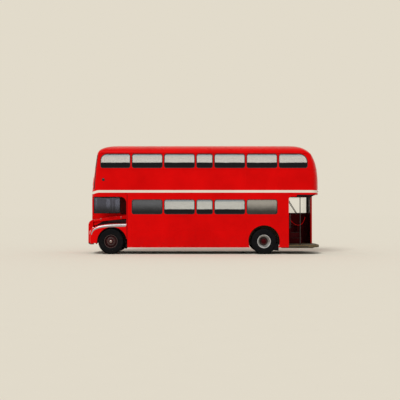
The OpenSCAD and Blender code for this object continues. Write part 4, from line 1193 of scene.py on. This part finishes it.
BOWL = [(0.070, -0.004), (0.094, 0.012), (0.0975, 0.050), (0.0975, 0.074), (0.090, 0.074), (0.086, 0.070),
    (0.070, 0.040), (0.035, 0.022), (0, 0.018)]
LAMP_RIM = [(0.088, 0.078), (0.096, 0.080), (0.098, 0.086), (0.095, 0.094), (0.088, 0.096), (0.085, 0.090),
    (0.088, 0.078)]
LENS_OUT = [(0.086, 0.084), (0.085, 0.0885), (0.070, 0.098), (0.045, 0.105), (0.020, 0.108), (0, 0.1085)]
LENS_IN = [(0.086, 0.084), (0.070, 0.092), (0.045, 0.0995), (0.020, 0.1025), (0, 0.103)]
BULB = [(0.008, 0.018), (0.008, 0.032), (0.014, 0.042), (0.014, 0.050), (0.008, 0.058), (0, 0.060)]
FORWARD, BACKWARD = (1, 0, 0), (-1, 0, 0)
for name, x, y in (("headlamp_left", 4.390, 0.93), ("headlamp_right", 4.457, -0.93)):
    c = (x, y, 0.83)
    Batch().turn(c, FORWARD, BOWL).make(f"{name}_bowl", "chrome")
    Batch().turn(c, FORWARD, LAMP_RIM).make(f"{name}_rim", "chrome")
    lens = Batch().turn(c, FORWARD, LENS_OUT).turn(c, FORWARD, LENS_IN)
    lens.make(f"{name}_lens", "lens", slot="lamp_glass", hides="lamps_and_mirrors")
    Batch().turn(c, FORWARD, BULB, n=20).make(f"{name}_bulb", "lens")

lamps = Batch()
for c in ((4.395, 0.72, 1.02), (4.475, -1.085, 1.05)):
    lamps.turn(c, FORWARD, [(0.026, -0.03), (0.030, 0.0), (0.030, 0.012), (0.022, 0.024), (0, 0.030)], n=24)
lamps.make("side_lamps", "chrome")
tails, rims = Batch(), Batch()
for y, z in TAIL_LAMPS:
    c = (upper_rear if z > SPLIT_Z else lower_rear)(y, z) - Vector((0.012, 0, 0))
    tails.turn(c, BACKWARD, [(0.044, -0.055), (0.044, 0.006), (0.038, 0.014), (0.022, 0.021), (0, 0.024)],
        n=32)
    rims.turn(c, BACKWARD, [(0.045, -0.03), (0.052, -0.004), (0.052, 0.005), (0.046, 0.010), (0.0435, 0.006)],
        n=32)
tails.make("tail_lamp_lenses", "red_lens")
rims.make("tail_lamp_rims", "chrome")
lamps = Batch()
profile = [(0.056, 0), (0.056, 0.010), (0.048, 0.016), (0.044, 0.013), (0.034, 0.019), (0, 0.023)]
for s in SIDES:
    lamps.turn((3.93, s * 1.2195, 2.917), (0, s, 0), profile, n=32)
lamps.make("side_repeater_lamps", "black")

MIRROR_X, MIRROR_Y = 4.446, -1.165
route = ((4.392, 2.180), (4.425, 2.180), (MIRROR_X, 2.150), (MIRROR_X, 1.590), (4.425, 1.560), (4.392, 1.560))
arm = Batch().tube(spline([(x, MIRROR_Y, z) for x, z in route], 40), 0.008)
arm.block((4.440, MIRROR_Y - 0.012, 1.838), (4.458, MIRROR_Y + 0.012, 1.862), 0.003).make("mirror_arm",
    "black")
HEAD_Y, HEAD_Z = -1.163, 1.850
HEAD = [(y - HEAD_Y, z - HEAD_Z) for y, z in round_rect(-1.216, -1.110, 1.740, 1.960, 0.028)]
rows = []
for x, grow in ((4.467, -0.022), (4.464, -0.006), (4.458, 0.0), (4.452, 0.0), (4.4515, -0.006)):
    rows.append([(x, HEAD_Y + y * (1 + grow / 0.053), HEAD_Z + z * (1 + grow / 0.11)) for y, z in HEAD])
Batch().grid(rows, closed_u=True, caps=True).make("mirror_head", "black")
rows = [[(4.4505, HEAD_Y + y * k, HEAD_Z + z * k) for y, z in HEAD] for k in (0.88, 0.5, 0.01)]
Batch().grid(rows, closed_u=True).make("mirror_glass", "chrome")

wiper = Batch()
wiper.turn(cab_front(-0.655, 1.535) + Vector((-0.004, 0, 0)), FORWARD,
    [(0.016, 0), (0.016, 0.014), (0, 0.020)], n=16)
for y, z, dy, dz, off, r, n in ((-0.655, 1.535, -0.28, 0.40, 0.016, 0.004, 8),
        (-0.84, 1.72, -0.07, 0.36, 0.008, 0.005, 6)):
    wiper.tube([cab_front(y + dy * k / 8, z + dz * k / 8) + Vector((off, 0, 0)) for k in range(9)], r, n)
wiper.make("windscreen_wiper", "black")

BOX_FRAME = [(-0.020, 0.005), (-0.020, 0.010), (-0.010, 0.014), (0.006, 0.012), (0.010, 0.000)]
frames = Batch()
for y0, y1 in ((-0.640, 0.420), (0.480, 0.800)):
    frames.ring(spread(round_rect(y0 + 0.004, y1 - 0.004, 2.704, 3.006, 0.012, 3)), skin(upper_front),
        BOX_FRAME)
frames.make("destination_box_frames", "red")
Batch().block((4.592, -0.02, 0.452), (4.599, 0.44, 0.540), 0.006).make("front_blank_plate", "black")
Batch().block((-4.512, -0.20, 2.545), (-4.500, 0.30, 2.655), 0.006).make("rear_blank_plate", "black")

# ---------- doors, handles and steps ----------

grip = [(3.245, -1.219, 1.52), (3.245, -1.2195, 1.50), (3.245, -1.2195, 1.42), (3.245, -1.219, 1.40)]
handle = Batch().tube(spline(grip, 9), 0.006, 8).block((3.190, -1.2205, 1.475), (3.230, -1.214, 1.515), 0.003)
handle.make("cab_door_handle", "chrome", "cab_door")
seal = Batch().ring(round_rect(3.240, 3.736, 1.640, 2.200, 0.060), OFFSIDE, RUBBER)
seal.make("cab_door_window_rubber", "rubber", "cab_door")
pts = round_rect(3.236, 3.740, 1.636, 2.204, 0.060)
pane = Batch().grid([[(x, y, z) for x, z in pts] for y in (-1.204, -1.197)], closed_u=True, caps=True)
pane.make("cab_door_glass", "cab_glass", "cab_door", slot="glass")

at_rear = skin(upper_rear)
pane = []
for d in (-0.017, -0.023):
    pane.append([[at_rear(-0.468 + 0.936 * i / 16, 3.182 + 0.526 * j / 10,
        d) for i in range(17)] for j in range(11)])
filled(*pane).make("emergency_window_glass", "emergency_glass", "emergency_window", slot="glass")
seal = Batch().ring(spread(round_rect(-0.460, 0.460, 3.190, 3.700)), at_rear, RUBBER)
seal.make("emergency_window_rubber", "rubber", "emergency_window")
grip = [at_rear(y, 3.168, d) for y, d in ((-0.07, 0.002), (-0.06, 0.022), (0.06, 0.022), (0.07, 0.002))]
Batch().tube(grip, 0.006, 8).make("emergency_window_handle", "chrome", "emergency_window")

# ---------- platform and stairs ----------


def platform_point(t):
    """A point on the platform's rounded edge, at height 0."""
    a = math.radians(-90 + 180 * t)
    c, s = abs(math.cos(a)) ** (2 / 3), abs(math.sin(a)) ** (2 / 3)
    return Vector((-NOSE_X + 0.56 - 0.56 * c, math.copysign(HALF_W * s, a), 0))


curve = [Vector((SALOON_REAR_X - 0.01 - 0.1 * i, HALF_W, 0)) for i in range(8)]
curve += [platform_point(1 - 0.5 * i / 30) for i in range(31)]
curve += [platform_point(0.5 - 0.26 * i / 12) for i in range(1, 13)]
path = [(p.x + (0.006 if p.x < -4.0 else 0), p.y - 0.004 * (1 if p.y > 0 else -1)) for p in curve]
edge = Batch()
for drop, r in ((0.006, 0.009), (0.066, 0.007)):
    edge.tube([(x, y, PLATFORM_Z - drop) for x, y in path], r, 8)
edge.make("platform_edge_strips", "bronze")

STEP_RISE = (UPPER_FLOOR - PLATFORM_Z) / 9
FLIGHT_X, STEP_GO = -3.560, 0.130
nosing = Batch()
for k in range(4, 9):
    x, z = FLIGHT_X + (k - 4) * STEP_GO - 0.021, PLATFORM_Z + k * STEP_RISE
    nosing.block((x - 0.004, -1.16, z - 0.022), (x + 0.024, -0.585, z + 0.003), 0.003)
NEWEL = Vector((FLIGHT_X - 0.020, -0.580))
for k, a in ((1, 180), (2, 208), (3, 239)):
    d = Vector((math.cos(math.radians(a)), math.sin(math.radians(a))))
    reach = 0.46 if k == 1 else min(0.47 / abs(d.x), 0.57 / abs(d.y), 0.6)
    z = PLATFORM_Z + k * STEP_RISE
    nosing.tube([(*(NEWEL + d * r), z - 0.004) for r in (0.04, reach)], 0.009, 8)
nosing.make("stair_nosings", "dark_rail")

route = [(-3.515, -0.548, 1.42), (-3.66, -0.535, 1.22), (-3.86, -0.530, 1.105), (-4.06, -0.535, 1.17),
    (-4.185, -0.56, 1.435)]
Batch().tube(spline(route, 40), 0.014, 12).make("stair_guard_rail", "red")
rails = Batch()
rails.tube([(-3.385, y, z) for y, z in ((1.12, 1.03), (1.135, 1.06), (1.135, 1.50), (1.12, 1.53))], 0.010)
route = [(x, -0.535, z) for x, z in ((-3.27, 2.329), (-3.40, 2.22), (-3.62, 1.87), (-3.84, 1.53))]
rails.tube(spline(route, 30), 0.011, 12).make("stair_hand_rails", "dark_rail")
Batch().block((-4.4755, -0.640, 0.370), (-4.414, -0.628, 2.240), 0.003).make("rear_wall_edge", "red")

curtains, flaps = Batch(), Batch()
for s in SIDES:
    y0, y1 = sorted((s * 0.596, s * 0.602))
    for x0, x1, z1 in ((-3.080, -2.560, 0.640), (-2.130, -1.620, 0.640), (4.060, 4.400, 0.730),
            (3.042, 3.150, 0.730)):
        curtains.block((x0, y0, 0.350 if x0 < 0 else 0.440), (x1, y1, z1), 0.002)
curtains.make("wheel_arch_curtains", "chassis")
FRONT_FLAP = [(3.041, 0.74), (3.049, 0.74), (3.052, 0.45), (3.074, 0.225), (3.040, 0.215)]
SIDE_FLAP_AND_SHADE = [(-2.912, 0.47), (-2.912, 0.140), (-2.700, 0.165), (-2.800, 0.400)]
for s in SIDES:
    rows = [[(x, s * y, z) for x, z in FRONT_FLAP] for y in (0.63, 0.80, 1.00, 1.205)]
    flaps.grid(rows, closed_u=True, caps=True)
    rows = []
    for u in [j / 8 for j in range(9)]:
        x = -2.905 + (0.018 * math.sin(math.pi * u) + 0.012 * u**2)
        rows.append([(x, s * y, 0.46 - (0.46 - 0.135) * u) for y in (0.66, 0.80, 0.93, 1.06, 1.185)])
    flaps.join(filled(rows, [[(x - 0.007, y, z) for x, y, z in r] for r in rows]))
    # A black plate on each side behind the rear wheel: partly the flap, partly painted shade for the shadow
    # of the black arch behind it.
    flaps.grid([[(x, s * y, z) for x, z in SIDE_FLAP_AND_SHADE] for y in (1.203, 1.209)], closed_u=True, caps=True)
flaps.make("mud_flaps_and_shade_plates", "tyre")
valance = Batch().tube([(4.585, y, 0.412) for y in (-0.16, 0.1, 0.35, 0.58)], 0.014, 8)
valance.block((4.46, 0.560, 0.370), (4.57, 0.596, 0.430), 0.008)
valance.block((4.30, 1.150, 0.385), (4.44, 1.205, 0.432), 0.008)
valance.block((4.17, 1.160, 0.400), (4.22, 1.205, 0.440), 0.006)
valance.make("front_valance_edge", "rubber")

# ---------- seats ----------

VOXEL, MOST_SWELL, PRESSURE, FRAMES, TRIANGLES = 0.006, 0.025, 4, 20, 520


def swollen(size, flat=2):
    """A pad of this size blown up by a cloth simulation. Gives its points, from 0 to 1 in its box, and its
    faces."""
    me = bpy.data.meshes.new("pad")
    bm = bmesh.new()
    bmesh.ops.create_cube(bm, size=1)
    for v in bm.verts:
        v.co = Vector([c * (d - 0.010) for c, d in zip(v.co, size)])
    bmesh.ops.bevel(bm, geom=bm.edges[:], offset=min(size) * 0.28, segments=4, affect="EDGES", profile=0.5)
    bm.to_mesh(me)
    bm.free()
    o = bpy.data.objects.new("pad", me)
    SCENE.collection.objects.link(o)
    m = o.modifiers.new("even", "REMESH")
    m.mode = "VOXEL"
    m.voxel_size = VOXEL
    settle(o)
    start = [v.co.copy() for v in o.data.vertices]
    m = o.modifiers.new("swell", "CLOTH")
    m.settings.use_pressure = True
    m.settings.uniform_pressure_force = PRESSURE
    m.settings.effector_weights.gravity = 0
    m.settings.quality = 4
    m.collision_settings.use_collision = False
    m.collision_settings.use_self_collision = False
    for f in range(1, FRAMES + 1):
        SCENE.frame_set(f)
    settle(o)
    SCENE.frame_set(1)
    for v, a in zip(o.data.vertices, start):
        d = v.co - a
        if d.length > MOST_SWELL:
            v.co = a + d * (MOST_SWELL / d.length)
    o.modifiers.new("fewer", "DECIMATE").ratio = TRIANGLES / (2 * len(o.data.polygons))
    settle(o)
    o.modifiers.new("smoother", "SUBSURF").levels = 1
    settle(o)
    pts = [v.co.copy() for v in o.data.vertices]
    low, high = min(p[flat] for p in pts), max(p[flat] for p in pts)
    for p in pts:
        p[flat] = max(p[flat], low + 0.2 * (high - low))
    lo = [min(p[i] for p in pts) for i in range(3)]
    hi = [max(p[i] for p in pts) for i in range(3)]
    pts = [tuple((p[i] - lo[i]) / (hi[i] - lo[i]) for i in range(3)) for p in pts]
    faces = [tuple(f.vertices) for f in o.data.polygons]
    bpy.data.objects.remove(o)
    return pts, faces


def place(points, lo, hi, order=(0, 1, 2), flip=()):
    """Points from 0 to 1 fitted into the box from lo to hi; order and flip turn them first."""
    return [
        tuple(a + (b - a) * (1 - p[k] if i in flip else p[k]) for i,
            (a, b, k) in enumerate(zip(lo, hi, order)))
        for p in points
    ]


def pad(batch, shape, *box, **turned):
    return batch.add(place(shape[0], *box, **turned), shape[1])


def seam(shape, level=0.62, n=56):
    """The line round a pad at this level of its thickness along Z, as points from 0 to 1 in its box."""
    tree = BVHTree.FromPolygons([Vector(p) for p in shape[0]], shape[1])
    out = []
    for a in [math.tau * (i + 0.5) / n for i in range(n)]:
        way = Vector((math.cos(a), math.sin(a), 0))
        way /= max(abs(way.x), abs(way.y))
        out.append(tuple(tree.ray_cast(Vector((0.5, 0.5, level)) + way * 0.8, -way)[0]))
    return out


DOUBLE_PAD = swollen((0.400, 0.822, 0.100))
BACK_PAD = swollen((0.060, 0.396, 0.600), flat=0)
SQUARE_PAD = swollen((0.446, 0.460, 0.090))
DOUBLE_SEAM, SQUARE_SEAM = seam(DOUBLE_PAD), seam(SQUARE_PAD)
PIPING_R = 0.0045


def bus_seat(cushions, backs, shells, frames, cords, x, y0, y1, z):
    """A double seat facing forward: a cushion, two padded backs in one shell, and a tube frame with a grab
    rail."""
    top = z + 1.09
    box = ((x + 0.014, y0 + 0.010, z + 0.345), (x + 0.404, y1 - 0.010, z + 0.458))
    pad(cushions, DOUBLE_PAD, *box)
    cords.tube(place(DOUBLE_SEAM, *box), PIPING_R, 6, closed=True)
    ym = (y0 + y1) / 2
    for a, b in ((y0 + 0.020, ym - 0.004), (ym + 0.004, y1 - 0.020)):
        pad(backs, BACK_PAD, (x - 0.052, a, z + 0.458), (x + 0.012, b, top - 0.035))
    rows = []
    for d, e in ((0.052, 0.014), (0.057, 0.004), (0.072, 0.0), (0.082, 0.006), (0.086, 0.020)):
        rim = round_rect(y0 + 0.012 + e, y1 - 0.012 - e, z + 0.42 + e, top - 0.012 - e,
            [0.03, 0.03, 0.075, 0.075], 4)
        rows.append([(x - d, y, zz) for y, zz in rim])
    shells.grid(rows, closed_u=True, caps=True)
    half = [(0.006, z + 0.36), (0.004, top - 0.10), (0.035, top - 0.012), (0.11, top + 0.014)]
    hoop = [(x - 0.048, y0 + d, h) for d, h in half] + [(x - 0.048, y1 - d, h) for d, h in reversed(half[1:])]
    frames.tube(spline(hoop + [(x - 0.048, y1 - 0.006, z + 0.36)], 26), 0.0125, 7)
    for y in (y0 + 0.07, y1 - 0.07):
        frames.tube([(x - 0.040, y, z + 0.36), (x - 0.040, y, z + 0.335), (x + 0.38, y, z + 0.335)], 0.012, 6)
    aisle = y0 + 0.10 if abs(y0) < abs(y1) else y1 - 0.10
    for a, b in ((x + 0.06, x + 0.02), (x + 0.30, x + 0.34)):
        frames.tube([(a, aisle, z + 0.33), (b, aisle, z + 0.01)], 0.014, 7)
    frames.block((x - 0.01, aisle - 0.03, z + 0.001), (x + 0.37, aisle + 0.03, z + 0.009), 0.002)


def side_bench(cushions, backs, shells, frames, cords, s):
    """A bench of three places over a rear wheel, facing the aisle."""
    z = LOWER_FLOOR
    y0, y1 = sorted((s * 0.700, s * 1.160))
    b0, b1 = sorted((s * 1.105, s * 1.168))
    for x in [-3.095 + 0.452 * k for k in range(3)]:
        box = ((x, y0, z + 0.525), (x + 0.446, y1, z + 0.628))
        pad(cushions, SQUARE_PAD, *box)
        cords.tube(place(SQUARE_SEAM, *box), PIPING_R, 6, closed=True)
        box = ((x + 0.004, b0, z + 0.635), (x + 0.442, b1, z + 0.900))
        pad(backs, BACK_PAD, *box, order=(1, 0, 2), flip=(1,) if s > 0 else ())
    shells.block((-3.10, y0 + 0.004, z + 0.475), (-1.74, y1 - 0.004, z + 0.522), 0.010)
    route = [(x, s * 0.69, h) for x, h in ((-1.735, 0.66), (-1.735, 1.42), (-1.78, 1.48), (-1.90, 1.49))]
    frames.tube(spline(route, 22), 0.013, 8)


SEAT_PITCH, SEAT_IN, SEAT_OUT = 0.700, 0.325, 1.165
for deck, x, z, counts in (("lower", 2.380, LOWER_FLOOR, (6, 6)), ("upper", 3.580, UPPER_FLOOR, (11, 9))):
    groups = cushions, backs, shells, frames, cords = [Batch() for _ in range(5)]
    for s, count in zip(SIDES, counts):
        for i in range(count):
            bus_seat(*groups, x - SEAT_PITCH * i, *sorted((s * SEAT_IN, s * SEAT_OUT)), z)
    for s in SIDES if deck == "lower" else ():
        side_bench(*groups, s)
    made = cushions.make(f"{deck}_seat_cushions", "cloth", slot="seat_fabric", angle=50,
        hides=f"{deck}_seats")
    backs.make(f"{deck}_seat_backs", "cloth", slot="seat_fabric", angle=50)
    shells.make(f"{deck}_seat_shells", "hide")
    frames.make(f"{deck}_seat_frames", "alloy")
    cords.make(f"{deck}_seat_piping", "hide")

pads = pad(Batch(), SQUARE_PAD, (3.305, -0.925, 1.485), (3.735, -0.455, 1.590))
pad(pads, BACK_PAD, (3.225, -0.915, 1.600), (3.300, -0.465, 2.070))
pads.make("driver_seat_pads", "hide", angle=50, hides="cab_seat")
cab = Batch()
cab.block((3.320, -0.910, 1.455), (3.720, -0.470, 1.484), 0.008)
cab.block((3.212, -0.905, 1.560), (3.226, -0.475, 2.060), 0.006)
for y in (-0.90, -0.48):
    cab.tube([(3.24, y, 1.46), (3.232, y, 1.62)], 0.012, 8)
cab.block((3.380, -0.820, 1.150), (3.640, -0.560, 1.180), 0.006)
for y in (-0.79, -0.59):
    for x0, x1 in ((3.40, 3.62), (3.62, 3.40)):
        cab.tube([(x0, y, 1.17), (x1, y, 1.46)], 0.014, 8)
cab.make("driver_seat_frame", "black")

# ---------- saloon fittings ----------

CEILING_Z, POLE_Y = 2.331, 0.34
poles = Batch()
for z0, z1, places in (
    (LOWER_FLOOR, CEILING_Z, ((1.63, 1), (0.23, -1), (-1.17, 1), (-1.87, -1))),
    (UPPER_FLOOR, 4.2535, ((2.83, 1), (1.43, -1), (0.03, 1), (-1.37, -1), (-2.20, 1))),
):
    for x, s in places:
        poles.tube([(x, s * POLE_Y, z0 + 0.002), (x, s * POLE_Y, z1)], 0.015)
for s in SIDES:
    poles.tube([(2.85 - 0.6 * i, s * 0.36, 2.20) for i in range(10)], 0.013, 8)
poles.make("saloon_poles", "alloy")

DOWN = (0, 0, -1)
lamps = Batch()
for s in SIDES:
    for i in range(6):
        profile = [(0.058, -0.004), (0.058, 0.006), (0.045, 0.020), (0.020, 0.030), (0, 0.032)]
        lamps.turn((2.30 - 1.02 * i, s * 0.62, 2.328), DOWN, profile, n=20)
        profile = [(0.050, -0.03), (0.050, 0.006), (0.040, 0.018), (0.020, 0.026), (0, 0.028)]
        lamps.turn((3.10 - 1.12 * i, s * 0.60, 4.195), DOWN, profile, n=20)
lamps.make("saloon_lamps", "lens")

rail = Batch()
for s in SIDES:
    rail.tube([(3.95 - 7.95 * i / 24, s * 1.155, 3.325) for i in range(25)], 0.011, 6)
rail.make("upper_window_rails", "alloy")
route = [(-2.96, -0.52, 2.44), (-2.96, -0.52, 3.22), (-3.00, -0.52, 3.28), (-3.70, -0.52, 3.28),
    (-3.80, -0.56, 3.28), (-3.80, -1.14, 3.28)]
well = Batch().tube(spline(route, 50), 0.014, 8).tube([(-3.40, -0.52, 2.44), (-3.40, -0.52, 3.27)], 0.012, 8)
well.make("stairwell_rails", "alloy")
well = Batch().block((-3.79, -0.535, 2.44), (-2.97, -0.525, 3.18)).block((-3.805, -1.14, 2.44),
    (-3.795, -0.53, 3.18))
well.make("stairwell_panels", "maroon")

# ---------- cab fittings ----------

rows = []
for z, x in ((1.30, 4.34), (1.43, 4.30), (1.475, 4.27), (1.49, 4.30), (1.49, 4.38)):
    rows.append([(x - 0.05 * ease(-0.85, -1.12, y), y, z) for y in [-0.235 - 0.08 * i for i in range(12)]])
filled(rows, [[(x + 0.012, y, z - 0.012) for x, y, z in r] for r in rows]).make("cab_dashboard", "black")
dials = Batch()
for y, r in ((-0.62, 0.045), (-0.75, 0.045), (-0.49, 0.030)):
    profile = [(r + 0.006, -0.004), (r + 0.006, 0.006), (r, 0.008), (r, 0.003), (0, 0.003)]
    dials.turn((4.272, y, 1.455), (-1, 0, 0.5), profile, n=28)
dials.make("cab_dials", "chrome")
STEER_Y = -0.69
controls = Batch().tube([(4.18, STEER_Y, 1.20), (4.03, STEER_Y, 1.735)], 0.022, 12)
controls.turn((4.02, STEER_Y, 1.755), (-0.26, 0, 0.96), [(0.042, -0.02), (0.042, 0.004), (0.030, 0.014),
    (0, 0.017)], n=24)
for y in [STEER_Y + dy - 0.1 for dy in (-0.02, 0.10, 0.20)]:
    controls.tube([(4.25, y, 1.02), (4.14, y, 1.13)], 0.009, 8)
    controls.block((4.09, y - 0.03, 1.12), (4.12, y + 0.03, 1.20), 0.006)
controls.tube(spline([(3.78, -0.42, 1.02), (3.80, -0.42, 1.30), (3.84, -0.44, 1.50)], 14), 0.009, 8)
profile = [(0.012, -0.01), (0.021, 0.005), (0.021, 0.016), (0.012, 0.028), (0, 0.031)]
controls.turn((3.842, -0.441, 1.505), (0.2, -0.1, 1), profile, n=20).make("cab_controls", "black")

# ---------- underside ----------

LEAF_T, LEAF_HALF_W, LEAF_CAMBER = 0.0085, 0.034, 0.075
springs = Batch()
for s in SIDES:
    for x0, half, z0, y in ((FRONT_X, 0.62, 0.535, 0.44), (REAR_X, 0.70, 0.56, 0.50)):
        for k in range(8):
            length = half * (1 - 0.1 * k)
            top, low = [], []
            for u in [-1 + 2 * i / 16 for i in range(17)]:
                z = z0 - 0.010 * k + LEAF_CAMBER * (u * length / half) ** 2
                for row, h in ((top, z), (low, z - LEAF_T)):
                    row.append([(x0 + u * length, s * y + e, h) for e in (-LEAF_HALF_W, LEAF_HALF_W)])
            springs.join(filled(top, low))
springs.make("leaf_springs", "cast")
pipe = Batch()
route = [(3.30, 0.46, 0.62), (3.02, 0.55, 0.45), (2.70, 0.62, 0.40), (1.60, 0.62, 0.38), (0.60, 0.62, 0.38)]
pipe.tube(spline(route, 60), 0.034, 12)
pipe.tube(spline([(-0.25, 0.62, 0.38), (-1.0, 0.62, 0.38), (-1.60, 0.55, 0.37)], 30), 0.030, 12)
SILENCER = [(0.034, -0.02), (0.100, 0.03), (0.105, 0.06), (0.105, 0.82), (0.100, 0.85), (0.030, 0.90)]
pipe.turn((0.62, 0.62, 0.38), BACKWARD, SILENCER, n=28).make("exhaust_pipe", "cast")
lines = Batch()
for y, z in ((-0.46, 0.50), (-0.442, 0.504), (-0.476, 0.508)):
    lines.tube([(x, y, z + 0.004 * math.sin(x * 3)) for x in [3.0 - 0.2 * i for i in range(24)]], 0.005, 6)
lines.make("brake_pipes", "cast")

# ---------- floor, light and camera ----------

PAPER = (0.761, 0.708, 0.596)
SKY = 0.62
SUN_FROM = (0.28, 0.62, 0.73)
bpy.ops.object.light_add(type="SUN", location=(5.0, 12.0, 12.0))
sun = bpy.context.object
sun.name = "key_light"
sun.data.energy = math.pi * (1 - SKY) * math.hypot(*SUN_FROM) / SUN_FROM[2]
sun.data.angle = math.radians(24)
sun.rotation_euler = Vector(SUN_FROM).to_track_quat("Z", "Y").to_euler()

bpy.ops.mesh.primitive_plane_add(size=400, location=(0, 0, 0))
floor = bpy.context.object
floor.name = "studio_floor"
t = Tree("studio_floor")
t.set(Base_Color=t.mix(t.noise(2.0, 2), PAPER, times(PAPER, 0.985)), Roughness=1.0, Specular_IOR_Level=0.0)
floor.data.materials.append(t.mat)

world = bpy.data.worlds.new("studio")
SCENE.world = world
world.use_nodes = True
tree = world.node_tree
tree.nodes.clear()
kinds = ("OutputWorld", "Background", "Background", "MixShader", "LightPath", "Math", "Math")
out, seen, soft, pick, rays, seen_or_gloss, any_ray = [tree.nodes.new("ShaderNode" + kind) for kind in kinds]
seen.inputs["Color"].default_value = (*PAPER, 1)
seen.inputs["Strength"].default_value = 1.0
soft.inputs["Color"].default_value = (1, 1, 1, 1)
soft.inputs["Strength"].default_value = SKY
seen_or_gloss.operation = any_ray.operation = "MAXIMUM"
for a, b in (
    (rays.outputs["Is Camera Ray"], seen_or_gloss.inputs[0]),
    (rays.outputs["Is Glossy Ray"], seen_or_gloss.inputs[1]),
    (seen_or_gloss.outputs[0], any_ray.inputs[0]),
    (rays.outputs["Is Transmission Ray"], any_ray.inputs[1]),
    (any_ray.outputs[0], pick.inputs[0]),
    (soft.outputs[0], pick.inputs[1]),
    (seen.outputs[0], pick.inputs[2]),
    (pick.outputs[0], out.inputs[0]),
):
    tree.links.new(a, b)

cam = bpy.data.objects.new("camera", bpy.data.cameras.new("camera"))
SCENE.collection.objects.link(cam)
cam.location = (0.156, 31.22, 1.7)
cam.rotation_euler = (Vector((0.156, 1.22, 2.118)) - cam.location).to_track_quat("-Z", "Y").to_euler()
cam.data.lens = 69.2
cam.data.clip_end = 500
SCENE.camera = cam
SCENE.view_settings.view_transform = "Standard"
SCENE.view_settings.look = "None"
